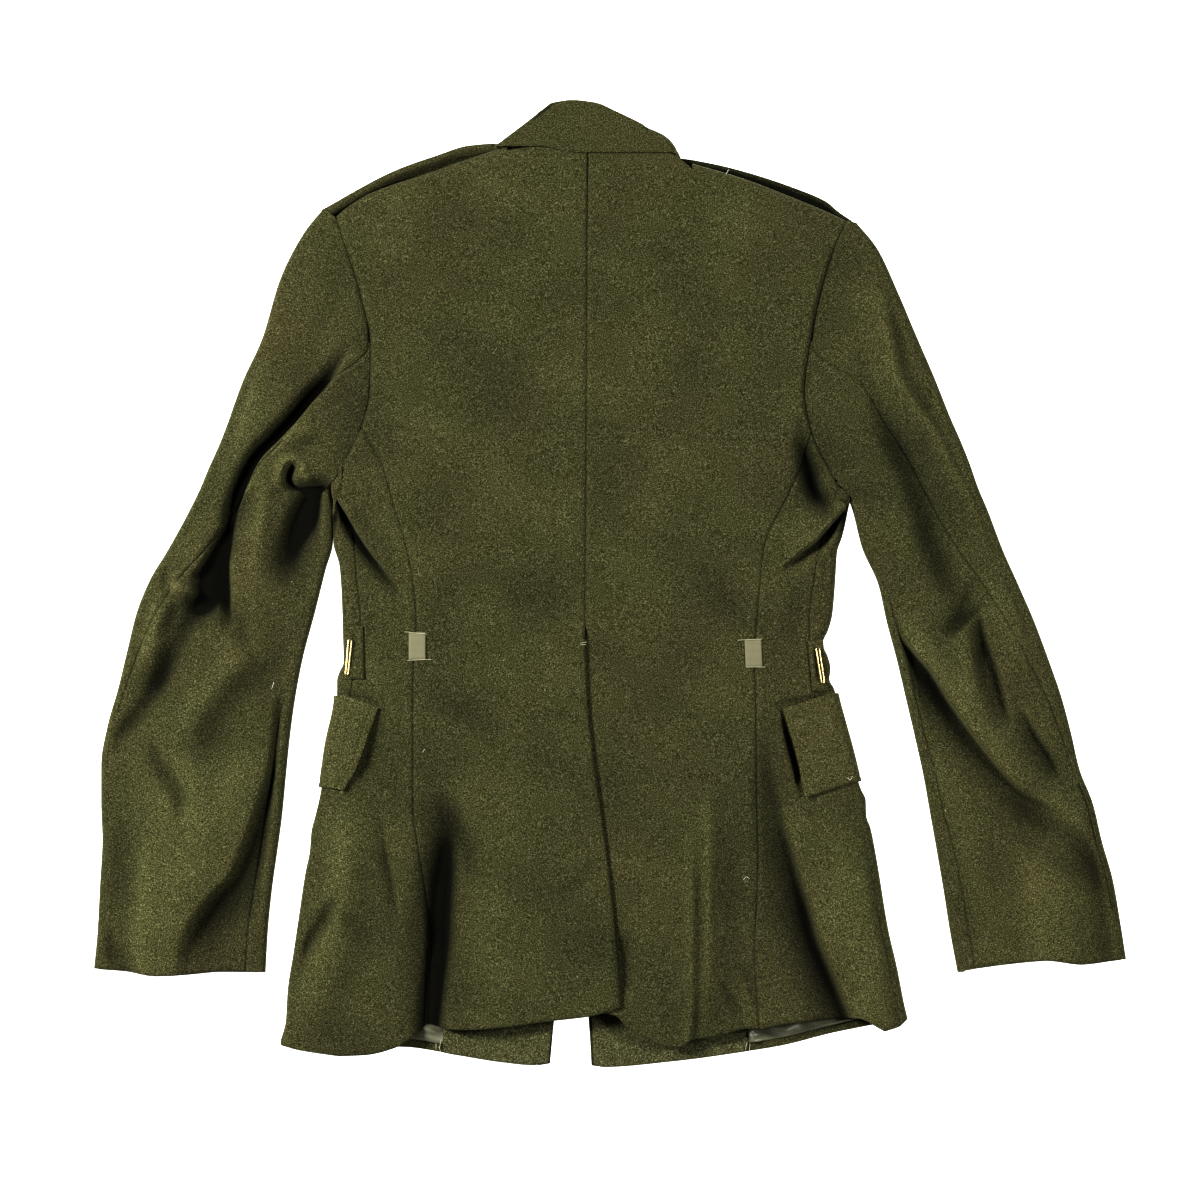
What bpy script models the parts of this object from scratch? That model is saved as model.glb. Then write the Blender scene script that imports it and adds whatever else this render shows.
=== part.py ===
"""A wool military dress tunic, buttoned and laid flat on its front.

The garment is a set of cloth walls. Each panel is a grid of rows and columns over the lay of
the tunic: an under layer on the table, round side edges, and a top layer with its folds.
Lengths are millimetres. +X is the wearer's right, +Y runs to the collar and +Z is up.
"""

import math
from collections import namedtuple

import bmesh
import bpy
from mathutils import Vector

for thing in list(bpy.data.objects):
    bpy.data.objects.remove(thing, do_unlink=True)

# ---- driving dimensions --------------------------------------------------------------------
MM = 0.001  # scene units in one millimetre
SHARP = math.radians(45)  # edges sharper than this are shaded as edges
CLOTH = 1.8  # wool wall
SATIN = 1.0  # lining wall
STRAP_CLOTH = 2.2  # two layers of wool
SEAM_GAP = 0.3
PLY_GAP = 0.8  # air between two loose plies
PLY = CLOTH + PLY_GAP  # rise from one ply to the next
TABLE = CLOTH / 2  # middle of a wall that lies on the table

EDGE_HEIGHT = 12.0  # top ply over the table, at a side edge
CHEST_HEIGHT = 17.0  # top ply over the table, across the back
CHEST_LIFT = 3.0  # fronts over the lapels, collar and straps below them
CHEST_LINE = (150.0, 180.0)  # y where that lift starts and is whole
EDGE_RISE = 35.0  # distance over which the top ply rises from an edge
SIDE_SOFT = 5.0  # the rise starts this far in from the side edge
FOLD_EDGE = (-2.0, 10.0)  # distances in from an edge where folds start and are whole
EASE = 40.0  # distance over which an under ply settles from a lift

SLEEVE_HEIGHT = (17.0, 13.0)  # top ply of a sleeve at its head and cuff
SLEEVE_EDGE = (11.0, 9.0)  # top ply of a sleeve at its edges, head and cuff
SLEEVE_SOFT = 6.0  # a sleeve's rise starts this far in from its edge
SLEEVE_FOLD_EDGE = 12.0  # distance over which folds grow from there
SLEEVE_FULL = 1.15  # makes up for the rise that the near edges take
TUCK = 1.2  # least width of the under sleeve at its top

BUTTON_LIFT = 4.6  # left front over the buttons
BUTTON_STRIP = (-46.0, 14.0)  # x range of that lift
BUTTON_SPAN = (-62.0, 236.0)  # y range of that lift
LAP_LIFT = 3.4  # right front over the left one where they lap
LAP_SPAN = (-262.0, -212.0, 232.0, 262.0)  # y where that lift starts, is whole and ends
LAP_EDGE = 6.0  # the lift is whole this far past the left front's edge
BUTTON_X = -18.0
BUTTON_YS = (200.0, 121.0, 41.0, -39.0)
BUTTON_RADIUS = 10.0
BUTTON_HEIGHT = 4.2

VENT_TOP = -47.0  # y
VENT_LIFT = 3.6  # left back over the underlap
VENT_EASE = (52.0, 22.0)  # distances beside the underlap where that lift starts and is whole
VENT_START = (16.0, 4.0)  # the same above the vent top

# ---- where the seams and edges lie ----------------------------------------------------------
Level = namedtuple("Level", "y edge_l front_l back_l back_r front_r edge_r")
LEVELS = [
    Level(70, -234, -220, -181, 147, 190, 202),
    Level(37, -231, -214, -172, 132, 176, 194),
    Level(3, -225, -211, -165, 126, 171, 189),
    Level(-31, -224, -208, -162, 123, 167, 186),
    Level(-60, -223, -211, -164, 121, 168, 181),
    Level(-89, -228, -217, -165, 122, 171, 187),
    Level(-100, -230, -218, -165, 123, 173, 192),
    Level(-136, -239, -222, -165, 123, 181, 203),
    Level(-175, -244, -223, -165, 125, 193, 211),
    Level(-187, -245, -223, -165, 126, 196, 214),
    Level(-224, -251, -223, -160, 124, 202, 223),
    Level(-266, -258, -224, -154, 123, 210, 231),
    Level(-308, -265, -225, -151, 121, 218, 239),
    Level(-337, -269, -226, -151, 123, 224, 245),
    Level(-383, -276, -227, -153, 126, 230, 249),
]

# The armhole seam, shoulder tip to underarm. Rows 5 and 7 are where the side-back and the
# front side seams start.
Armhole = namedtuple("Armhole", "x_l y_l x_r y_r")
ARMHOLE = [
    Armhole(-230, 307, 198, 304),
    Armhole(-221, 280, 187, 278),
    Armhole(-209, 242, 176, 242),
    Armhole(-201, 202, 168, 202),
    Armhole(-202, 160, 163, 160),
    Armhole(-209, 131, 169, 127),
    Armhole(-215, 118, 176, 110),
    Armhole(-221, 105, 184, 96),
    Armhole(-226, 93, 190, 84),
    Armhole(-234, 82, 202, 72),
]
SIDE_BACK_START = 5
FRONT_SIDE_START = 7
UNDERARM = 9

# One row for each section of a sleeve: its outer and inner ends, and how far across, from
# the outer edge to the inner one, the hind-arm and forearm seams lie.
Section = namedtuple("Section", "outer_x outer_y inner_x inner_y hind fore")
SLEEVE_L = [
    Section(-238, 314, -230, 307, 1, 1),
    Section(-256, 295, -221, 280, 1, 1),
    Section(-276, 257, -209, 242, 1, 1),
    Section(-292, 205, -201, 202, 1, 1),
    Section(-308, 170, -202, 160, 0.63, 1),
    Section(-321, 134, -209, 131, 0.50, 1),
    Section(-328, 116, -215, 118, 0.48, 1),
    Section(-337, 96, -221, 105, 0.40, 1),
    Section(-345, 77, -226, 93, 0.375, 1),
    Section(-355, 57, -240, 79, 0.35, 0.95),
    Section(-371, 28, -237, 37, 0.236, 0.95),
    Section(-386, 3, -243, 10, 0.18, 0.95),
    Section(-397, -24, -249, -26, 0.13, 0.95),
    Section(-405, -56, -258, -64, 0.09, 0.94),
    Section(-413, -89, -263, -102, 0.08, 0.935),
    Section(-422, -121, -267, -133, 0.07, 0.93),
    Section(-427, -152, -271, -163, 0.07, 0.924),
    Section(-427, -184, -276, -194, 0.07, 0.91),
    Section(-426, -215, -279, -224, 0.07, 0.903),
    Section(-428, -253, -282, -256, 0.07, 0.896),
    Section(-431, -291, -286, -291, 0.07, 0.884),
    Section(-433, -323, -289, -326, 0.07, 0.885),
]
SLEEVE_R = [
    Section(207, 302, 198, 304, 1, 1),
    Section(224, 281, 187, 278, 1, 1),
    Section(242, 243, 176, 242, 1, 1),
    Section(256, 210, 168, 202, 1, 1),
    Section(272, 173, 163, 160, 0.55, 1),
    Section(286, 138, 169, 127, 0.47, 1),
    Section(294, 120, 176, 110, 0.436, 1),
    Section(302, 100, 184, 96, 0.42, 1),
    Section(309, 80, 190, 84, 0.404, 1),
    Section(317, 61, 206, 69, 0.40, 0.95),
    Section(330, 27, 212, 30, 0.305, 0.95),
    Section(343, -2, 223, -1, 0.238, 0.95),
    Section(356, -32, 232, -32, 0.21, 0.94),
    Section(368, -64, 242, -64, 0.18, 0.927),
    Section(379, -96, 250, -98, 0.124, 0.935),
    Section(387, -126, 258, -130, 0.08, 0.935),
    Section(394, -156, 264, -162, 0.07, 0.923),
    Section(405, -184, 270, -193, 0.07, 0.92),
    Section(413, -217, 275, -224, 0.07, 0.90),
    Section(422, -249, 280, -256, 0.07, 0.893),
    Section(428, -283, 286, -291, 0.07, 0.894),
    Section(433, -315, 291, -326, 0.07, 0.90),
]

# Outlines, as (x, y) points: shoulder edges, vent, front edges and hems.
SHOULDER_L = [(-230, 307), (-222, 314), (-201, 327), (-87, 367)]
SHOULDER_R = [(69, 352), (113, 339), (181, 312), (198, 304)]
NECK_LINE = [(-87, 367), (-60, 370), (40, 369), (69, 352)]
CENTRE = [(-19, 367), (-21, VENT_TOP)]
VENT_EDGE = [(-21, VENT_TOP), (-14, -131), (-6, -196), (2, -265), (6, -320), (9, -355)]
UNDERLAP_EDGE = [(-21, VENT_TOP), (-50, -61), (-45, -131), (-37, -196), (-29, -265), (-22, -355)]
FRONT_EDGE_L = [(-92, 362), (-12, 222), (2, 205), (2, 70), (-2, -47), (-8, -98), (-27, -206),
                (-36, -266), (-48, -366), (-52, -404)]
FRONT_EDGE_R = [(74, 349), (-26, 222), (-38, 205), (-38, 70), (-36, -47), (-33, -98), (-27, -206),
                (-24, -266), (-16, -366), (-13, -406)]
HEM_BACK_L = [(-160, -366), (-145, -370), (-127, -374), (-92, -372), (-16, -362), (9, -355)]
HEM_BACK_R = [(-22, -357), (20, -375), (45, -388), (57, -389), (82, -381), (112, -374), (126, -373)]
HEM_SIDE_L = [(-227, -396), (-205, -395), (-181, -389), (-162, -376), (-151, -366)]
HEM_SIDE_R = [(126, -373), (154, -368), (207, -364), (230, -375)]
HEM_FRONT_L = [(-276, -387), (-260, -391), (-227, -396)]
HEM_FRONT_R = [(230, -375), (243, -371), (249, -365)]
HEM_UNDER_L = [(-276, -387), (-229, -392), (-176, -389), (-127, -396), (-85, -402), (-52, -404)]
HEM_UNDER_R = [(-13, -406), (51, -401), (113, -393), (144, -388), (188, -377), (249, -365)]

# The largest folds of the top ply: a ridge where rise is positive, a trough where it is not.
Fold = namedtuple("Fold", "x0 y0 x1 y1 width rise")
FOLDS = [
    # skirt, left: the side rolls into a deep valley beside the back
    Fold(-168, -190, -168, -390, 16, 5),
    Fold(-151, -195, -150, -375, 11, -9),
    Fold(-120, -230, -124, -370, 20, 2),
    Fold(-232, -250, -262, -340, 12, -4),
    # skirt, right: soft upright folds and the rolled side
    Fold(64, -200, 66, -380, 12, 3),
    Fold(82, -190, 84, -380, 10, -3),
    Fold(140, -140, 176, -330, 16, -4),
    Fold(172, -210, 212, -360, 15, 3),
    # back: shallow sway above the waist
    Fold(-130, 60, -60, -30, 30, -2),
    Fold(60, 60, 95, -30, 30, -2),
    Fold(-60, 250, -70, 120, 30, 1.5),
    # under the arms
    Fold(167, 118, 176, 55, 9, -6),
    Fold(-226, 72, -172, -14, 7, -3),
    Fold(184, 48, 146, 12, 7, -4),
    # left sleeve: the long tuck, the elbow and the forearm
    Fold(-215, 190, -262, 132, 9, -7),
    Fold(-262, 132, -303, 80, 10, -8),
    Fold(-303, 80, -326, 10, 15, -8),
    Fold(-330, 0, -362, -50, 15, -6),
    Fold(-362, -50, -410, -135, 13, -5),
    Fold(-282, 95, -300, -10, 18, 3),
    Fold(-262, 80, -262, 20, 11, -6),
    Fold(-300, -60, -330, -130, 14, -3),
    Fold(-285, -130, -340, -270, 17, -6),
    Fold(-372, -120, -376, -290, 20, 3),
    # right sleeve
    Fold(238, 120, 262, 10, 14, -4),
    Fold(262, 10, 292, -28, 14, -5),
    Fold(316, -30, 330, -100, 13, -5),
    Fold(255, 60, 282, -60, 20, 3),
    Fold(262, -65, 320, -165, 14, -6),
    Fold(300, -80, 352, -178, 16, 4),
    Fold(345, -110, 372, -160, 12, -3),
    Fold(330, -200, 400, -240, 18, -3),
]

# Rows of each layer, as y values. The armhole rows come from the table above.
UNDERARM_ROW = 76.0
SKIRT_ROWS = [level.y for level in LEVELS]

FLAP_REACH = 118.0  # width of a flap below the front
FLAP_SPAN = (-70.0, -89.0, -176.0, -187.0)  # y where the front over it starts to lift, and ends

parts = bpy.data.collections.new("military_dress_tunic")
bpy.context.scene.collection.children.link(parts)


def material(name, colour, roughness, metallic=0.0):
    made = bpy.data.materials.new(name)
    made.use_nodes = True
    shader = made.node_tree.nodes["Principled BSDF"]
    shader.inputs["Base Color"].default_value = (*colour, 1.0)
    shader.inputs["Roughness"].default_value = roughness
    shader.inputs["Metallic"].default_value = metallic
    return made


WOOL = material("wool_serge", (0.058, 0.060, 0.022), 0.95)
FACING_WOOL = material("facing_wool", (0.045, 0.045, 0.018), 0.95)
LINING = material("satin_lining", (0.13, 0.13, 0.085), 0.45)
RIBBON = material("ribbon", (0.27, 0.25, 0.11), 0.75)
BRASS = material("brass", (0.62, 0.47, 0.20), 0.28, 1.0)


# ---- reading the tables ---------------------------------------------------------------------
def smooth(t):
    t = min(max(t, 0.0), 1.0)
    return t * t * (3 - 2 * t)


def ramp(value, start, full):
    return smooth((value - start) / (full - start))


def lerp(a, b, t):
    return a + (b - a) * t


def along(points, value, key=0):
    """The other coordinate where a polyline passes this x (key 0) or this y (key 1)."""
    points = sorted(points, key=lambda p: p[key])
    if value <= points[0][key]:
        return points[0][1 - key]
    for a, b in zip(points, points[1:]):
        if value <= b[key]:
            return lerp(a[1 - key], b[1 - key], (value - a[key]) / (b[key] - a[key]))
    return points[-1][1 - key]


def at_y(points, y):
    return along(points, y, key=1)


def level_line(column):
    return [(getattr(level, column), level.y) for level in LEVELS]


def armhole(side):
    return [(row.x_l, row.y_l) if side < 0 else (row.x_r, row.y_r) for row in ARMHOLE]


def edge_x(side, y):
    return at_y(level_line("edge_l" if side < 0 else "edge_r"), y)


def fold_rise(x, y):
    """Sum of the folds at this place. Each is a soft ridge that fades at its two ends."""
    total = 0.0
    for fold in FOLDS:
        run = Vector((fold.x1 - fold.x0, fold.y1 - fold.y0))
        spot = Vector((x - fold.x0, y - fold.y0))
        part = min(max(spot.dot(run) / run.length_squared, 0.0), 1.0)
        away = (spot - run * part).length / fold.width
        taper = smooth(min(part, 1 - part) * 4 + 0.25)
        total += fold.rise * math.exp(-away * away) * taper
    return total


# ---- the lay of the body --------------------------------------------------------------------
def flap_lift(side, x, y):
    """How far the front rises over the pocket flap that lies below it."""
    inward = (x - edge_x(side, y)) * -side
    across = 1 - ramp(inward, FLAP_REACH + 8, FLAP_REACH + EASE)
    down = 1 - ramp(y, FLAP_SPAN[1], FLAP_SPAN[0])
    up = ramp(y, FLAP_SPAN[3], FLAP_SPAN[2])
    return PLY * across * down * up


def chest_lift(y):
    return CHEST_LIFT * ramp(y, *CHEST_LINE)


def button_lift(x, y):
    low, high = BUTTON_STRIP
    across = ramp(x, low - EASE, low) * (1 - ramp(x, high, high + EASE))
    down = ramp(y, BUTTON_SPAN[0] - EASE, BUTTON_SPAN[0])
    up = 1 - ramp(y, BUTTON_SPAN[1], BUTTON_SPAN[1] + EASE)
    return BUTTON_LIFT * across * down * up


def under_height(side, x, y):
    """Middle of the under ply. The right front lies on the left one where they lap."""
    height = TABLE + max(chest_lift(y), button_lift(x, y)) + flap_lift(side, x, y)
    if side > 0:
        lap = at_y(FRONT_EDGE_L, y)
        near = 1 - ramp(x, lap + LAP_EDGE, lap + EASE)
        height += LAP_LIFT * near * ramp(y, *LAP_SPAN[:2]) * (1 - ramp(y, *LAP_SPAN[2:]))
    return height


def top_height(x, y, inset):
    """Middle of the top ply, this far in from the nearest side or shoulder edge."""
    rise = 1 - math.exp(-inset / EDGE_RISE)
    return EDGE_HEIGHT + (CHEST_HEIGHT - EDGE_HEIGHT) * rise + fold_rise(x, y) * ramp(inset, *FOLD_EDGE)


def shoulder_inset(side, x, y):
    line = SHOULDER_L if side < 0 else SHOULDER_R
    return max(along(line, x) - y, 0.0)


def back_height(side, x, y):
    inset = shoulder_inset(side, x, y)
    if y < UNDERARM_ROW:
        inset = min(inset, max((edge_x(side, y) - x) * side - SIDE_SOFT, 0.0))
    height = top_height(x, y, inset)
    if side < 0:
        lap = at_y(UNDERLAP_EDGE, y)
        beside = ramp(x, lap - VENT_EASE[0], lap - VENT_EASE[1])
        below = ramp(VENT_TOP - y, -VENT_START[0], -VENT_START[1])
        height += VENT_LIFT * beside * below
    return height


def side_ring(side, y, angle):
    """Place and outward direction on the round side edge: +90 degrees is up, -90 down."""
    edge = edge_x(side, y) - side * SEAM_GAP
    low = under_height(side, edge, y)
    radius = (top_height(edge, y, 0.0) - low) / 2
    middle = edge - side * (radius + CLOTH / 2)
    turn = math.radians(angle)
    out = Vector((side * math.cos(turn), 0, math.sin(turn)))
    return Vector((middle, y, low + radius)) + out * radius, out


# ---- making a wall from a grid --------------------------------------------------------------
def wall(name, columns, rows, place, finish, thickness=CLOTH, keep=None):
    """A cloth wall. place(column, row) gives the middle point and the outward direction."""
    bm = bmesh.new()
    column_of = bm.verts.layers.int.new("column")
    row_of = bm.verts.layers.int.new("row")
    bmesh.ops.create_grid(bm, x_segments=columns, y_segments=rows, size=1)
    for vert in bm.verts:
        vert[column_of] = round((vert.co.x + 1) / 2 * columns)
        vert[row_of] = round((1 - vert.co.y) / 2 * rows)
    if keep:
        cut = [face for face in bm.faces
               if not keep(min(vert[column_of] for vert in face.verts),
                           min(vert[row_of] for vert in face.verts))]
        bmesh.ops.delete(bm, geom=cut, context="FACES")

    def move(verts, side):
        for vert in verts:
            middle, out = place(vert[column_of], vert[row_of])
            vert.co = (middle + out.normalized() * side * thickness / 2) * MM

    inner = bm.verts[:]
    grown = bmesh.ops.extrude_face_region(bm, geom=bm.faces[:], use_keep_orig=True)
    move(inner, -1)
    move([item for item in grown["geom"] if isinstance(item, bmesh.types.BMVert)], 1)
    bmesh.ops.recalc_face_normals(bm, faces=bm.faces)
    if bm.calc_volume(signed=True) < 0:
        bmesh.ops.reverse_faces(bm, faces=bm.faces)
    mesh = bpy.data.meshes.new(name)
    bm.to_mesh(mesh)
    bm.free()
    mesh.materials.append(finish)
    mesh.shade_smooth()
    mesh.set_sharp_from_angle(angle=SHARP)
    made = bpy.data.objects.new(name, mesh)
    parts.objects.link(made)
    return made


UP = Vector((0, 0, 1))
DOWN = Vector((0, 0, -1))
ARC = 4  # cells round an edge


def arc_angle(step):
    return 90 - 180 * step / ARC


# ---- backs: over the shoulder edge, down to the hem -----------------------------------------
BACK_COLUMNS = 6
BACK_ROWS = 2  # rows between the shoulder edge and the second armhole knot
SHOULDER_LOW = TABLE + CHEST_LIFT  # middle of the wall at the shoulder seam
NECK_TURN = 4.0  # the neck seam lies this far below the neck line


def back_levels(side):
    """Rows of the back below the shoulder: the armhole's, the skirt's and one at the vent top."""
    knots = [y for _, y in armhole(side)][1:SIDE_BACK_START + 1]
    below = [(knots[-1] + SKIRT_ROWS[0]) / 2, VENT_TOP + VENT_START[1]] + SKIRT_ROWS
    return knots + sorted(below, reverse=True)


def outer_line(side):
    """Armhole, then the side-back seam: the outer edge of a back panel."""
    seam = level_line("back_l" if side < 0 else "back_r")
    return armhole(side)[:SIDE_BACK_START + 1] + seam


def back_x(side, part, y):
    """x at this part of the way from the centre (0) to the outer seam (1)."""
    if y > VENT_TOP:
        centre = at_y(CENTRE, y) + side * SEAM_GAP / 2
    else:
        centre = at_y(VENT_EDGE if side < 0 else UNDERLAP_EDGE, y)
    outer = at_y(outer_line(side), y) - side * SEAM_GAP / 2
    return lerp(centre, outer, part)


def neck_part(side):
    """How far from the centre (0) to the armhole (1) the neck point lies."""
    tip_y = armhole(side)[0][1]
    neck = NECK_LINE[0][0] if side < 0 else NECK_LINE[-1][0]
    centre = back_x(side, 0, tip_y)
    return (neck - centre) / (back_x(side, 1, tip_y) - centre)


def round_shoulder(side, part, angle):
    """Place and direction on the shoulder edge, round in section."""
    line = SHOULDER_L if side < 0 else SHOULDER_R
    radius = (EDGE_HEIGHT - SHOULDER_LOW) / 2
    turn = math.radians(angle)
    slope = (line[-1][1] - line[0][1]) / (line[-1][0] - line[0][0])
    outward = Vector((-slope, 1, 0)).normalized()
    x = back_x(side, part, armhole(side)[0][1])
    out = outward * math.cos(turn) + UP * math.sin(turn)
    spot = Vector((x, along(line, x), SHOULDER_LOW + radius))
    spot += out * radius - outward * (radius + CLOTH / 2)
    spot.x = back_x(side, part, spot.y)
    return spot, out


def shoulder_seam(side):
    """Both ends of the straight seam below the shoulder edge: at the armhole and at the neck."""
    return round_shoulder(side, 1, -90)[0], round_shoulder(side, neck_part(side), -90)[0]


def shoulder_arc(side, part, angle):
    """The round shoulder edge, drawn below to the straight seam."""
    spot, out = round_shoulder(side, part, angle)
    tip, neck = shoulder_seam(side)
    seam = tip.lerp(neck, (1 - part) / (1 - neck_part(side)))
    share = max(-angle, 0) / 90
    return spot + (seam - round_shoulder(side, part, -90)[0]) * share, out


def make_back(side, name):
    levels = back_levels(side)
    tip_y = armhole(side)[0][1]
    hem = HEM_BACK_L if side < 0 else HEM_BACK_R
    rows = ARC + BACK_ROWS + len(levels)
    split = neck_part(side)
    at_neck = round(BACK_COLUMNS * split)

    def part_of(column):
        """Columns are spaced so that one of them meets the neck point."""
        if column <= at_neck:
            return split * column / at_neck
        return split + (1 - split) * (column - at_neck) / (BACK_COLUMNS - at_neck)

    def place(column, row):
        part = part_of(column)
        if row <= ARC and column >= at_neck:
            return shoulder_arc(side, part, -90 + 180 * row / ARC)
        if column < at_neck:
            top_y = along(NECK_LINE, back_x(side, part, tip_y)) - NECK_TURN
        else:
            top_y = shoulder_arc(side, part, 90)[0].y
        step = row - ARC
        if step <= BACK_ROWS:
            y = lerp(top_y, levels[0], step / (BACK_ROWS + 1))
        else:
            y = levels[step - BACK_ROWS - 1]
        x = back_x(side, part, y)
        if row == rows:
            y = along(hem, x)
        return Vector((x, y, back_height(side, x, y))), UP

    def keep(column, row):
        return row >= ARC or column >= at_neck

    return wall(name, BACK_COLUMNS, rows, place, WOOL, keep=keep)


make_back(-1, "back_left")
make_back(1, "back_right")


# ---- side bodies: between the side-back and the front side seams ----------------------------
SIDE_COLUMNS = 4


def armhole_spot(side, knot):
    """A place along the armhole, between two of its knots."""
    knots = armhole(side)
    low = min(int(knot), UNDERARM - 1)
    a, b = knots[low], knots[low + 1]
    return lerp(a[0], b[0], knot - low), lerp(a[1], b[1], knot - low)


def make_side(side, name):
    back_seam = level_line("back_l" if side < 0 else "back_r")
    front_seam = level_line("front_l" if side < 0 else "front_r")
    hem = HEM_SIDE_L if side < 0 else HEM_SIDE_R
    rows = 1 + len(SKIRT_ROWS)

    def spot(column, row):
        part = column / SIDE_COLUMNS
        inset = lerp(1, -1, part) * side * SEAM_GAP / 2
        if row == 0:
            x, y = armhole_spot(side, lerp(SIDE_BACK_START, FRONT_SIDE_START, part))
            return x + inset, y - SEAM_GAP
        if row == 1:
            above, below = spot(column, 0), spot(column, 2)
            return (above[0] + below[0]) / 2, (above[1] + below[1]) / 2
        y = SKIRT_ROWS[row - 2]
        x = lerp(at_y(back_seam, y), at_y(front_seam, y), part) + inset
        return x, along(hem, x) if row == rows else y

    def place(column, row):
        x, y = spot(column, row)
        return Vector((x, y, back_height(side, x, y))), UP

    return wall(name, SIDE_COLUMNS, rows, place, WOOL)


make_side(-1, "side_left")
make_side(1, "side_right")

# ---- fronts: from the side seam, round the edge and under to the front edge -----------------
TOP_COLUMNS = 2
UNDER_COLUMNS = 6


def shoulder_foot(side, x):
    """y of the front's shoulder edge."""
    tip, neck = shoulder_seam(side)
    return lerp(tip.y, neck.y, (x - tip.x) / (neck.x - tip.x)) - SEAM_GAP


def make_front(side, name):
    front_seam = level_line("front_l" if side < 0 else "front_r")
    front_edge = FRONT_EDGE_L if side < 0 else FRONT_EDGE_R
    hem_top = HEM_FRONT_L if side < 0 else HEM_FRONT_R
    hem_under = HEM_UNDER_L if side < 0 else HEM_UNDER_R
    knots = armhole(side)
    levels = [y for _, y in knots[1:]] + [(knots[-1][1] + SKIRT_ROWS[0]) / 2] + SKIRT_ROWS
    rows = 1 + len(levels)
    underarm_row = 1 + UNDERARM
    foot = TOP_COLUMNS + ARC

    def under(column, row):
        part = (column - foot) / UNDER_COLUMNS
        if row <= 1:
            tip, neck = shoulder_seam(side)
            x = lerp(tip.x, neck.x, part)
            y = shoulder_foot(side, x)
            if row == 1:
                y = (y + levels[0]) / 2
                outer = at_y(knots, (shoulder_foot(side, tip.x) + levels[0]) / 2)
                x = lerp(outer - side * SEAM_GAP, at_y(front_edge, y), part)
            return x, y
        y = levels[row - 2]
        outer = side_ring(side, y, -90)[0].x
        if row < underarm_row:
            outer = knots[row - 1][0] - side * SEAM_GAP
        x = lerp(outer, at_y(front_edge, y), part)
        return x, along(hem_under, x) if row == rows else y

    def ring(column, row):
        y = levels[row - 2]
        spot, out = side_ring(side, y, arc_angle(column - TOP_COLUMNS))
        if row == rows:
            spot.y = along(hem_top, spot.x)
        return spot, out

    def top(column, row):
        part = column / TOP_COLUMNS
        if row == underarm_row:
            x, y = knots[FRONT_SIDE_START + column]
            return x + side * SEAM_GAP / 2, y - SEAM_GAP
        if row == underarm_row + 1:
            above, below = top(column, row - 1), top(column, row + 1)
            return (above[0] + below[0]) / 2, (above[1] + below[1]) / 2
        y = levels[row - 2]
        tangent = side_ring(side, y, 90)[0].x
        x = lerp(at_y(front_seam, y) + side * SEAM_GAP / 2, tangent, part)
        return x, along(hem_top, x) if row == rows else y

    def place(column, row):
        if column >= foot:
            x, y = under(column, row)
            return Vector((x, y, under_height(side, x, y))), DOWN
        if column >= TOP_COLUMNS:
            return ring(column, row)
        x, y = top(column, row)
        return Vector((x, y, back_height(side, x, y))), UP

    def keep(column, row):
        return row >= underarm_row or column >= foot

    return wall(name, foot + UNDER_COLUMNS, rows, place, WOOL, keep=keep)


make_front(-1, "front_left")
make_front(1, "front_right")

# ---- sleeves --------------------------------------------------------------------------------
ARMHOLE_GAP = 0.45  # along a section, which meets the armhole at a slant
OVER_COLUMNS = 3  # top sleeve, hind-arm seam to outer edge
BELOW_COLUMNS = 5  # top sleeve, under the arm
UNDER_SLEEVE_COLUMNS = 4
UNDER_SLEEVE_START = 3  # the section where the hind-arm seam leaves the armhole


def sleeve_frame(side, row):
    """Outer end, direction to the inner end, and width of one section."""
    section = (SLEEVE_L if side < 0 else SLEEVE_R)[row]
    outer = Vector((section.outer_x, section.outer_y, 0))
    inner = Vector((section.inner_x, section.inner_y, 0))
    if row < UNDERARM:
        inner += (outer - inner).normalized() * ARMHOLE_GAP
    across = inner - outer
    return section, outer, across.normalized(), across.length


def sleeve_low(side, row, part):
    """Middle of the under ply. The head is lifted with the chest; part is 1 at the inner end."""
    section = (SLEEVE_L if side < 0 else SLEEVE_R)[row]
    return TABLE + chest_lift(section.inner_y) * max(part, 1 - row / UNDER_SLEEVE_START)


def sleeve_edge_height(row):
    return lerp(*SLEEVE_EDGE, row / (len(SLEEVE_L) - 1))


def sleeve_top(side, row, distance):
    """Place of the top ply this far from the outer end."""
    section, outer, across, width = sleeve_frame(side, row)
    part = distance / width
    spot = outer + across * distance
    edge = sleeve_edge_height(row)
    middle = lerp(*SLEEVE_HEIGHT, row / (len(SLEEVE_L) - 1))

    def own(distance, spot):
        near = max(distance - SLEEVE_SOFT, 0)
        rise = 1 - math.exp(-near / EDGE_RISE)
        if row >= UNDERARM:
            far = max(width - distance - SLEEVE_SOFT, 0)
            rise *= 1 - math.exp(-far / EDGE_RISE)
            near = min(near, far)
        folds = fold_rise(spot.x, spot.y) * ramp(near, 0, SLEEVE_FOLD_EDGE)
        return edge + (middle - edge) * rise * SLEEVE_FULL + folds

    height = own(distance, spot)
    if row < UNDERARM:
        end = outer + across * width
        height += (back_height(side, end.x, end.y) - own(width, end)) * part * part
    return Vector((spot.x, spot.y, height))


def sleeve_ring(side, row, angle, inner_end):
    section, outer, across, width = sleeve_frame(side, row)
    low = sleeve_low(side, row, 1.0 if inner_end else 0.0)
    radius = (sleeve_edge_height(row) - low) / 2
    out = across if inner_end else -across
    start = outer + across * (width if inner_end else 0)
    turn = math.radians(angle)
    direction = out * math.cos(turn) + UP * math.sin(turn)
    middle = start - out * (radius + CLOTH / 2) + UP * (low + radius)
    return middle + direction * radius, direction


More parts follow.
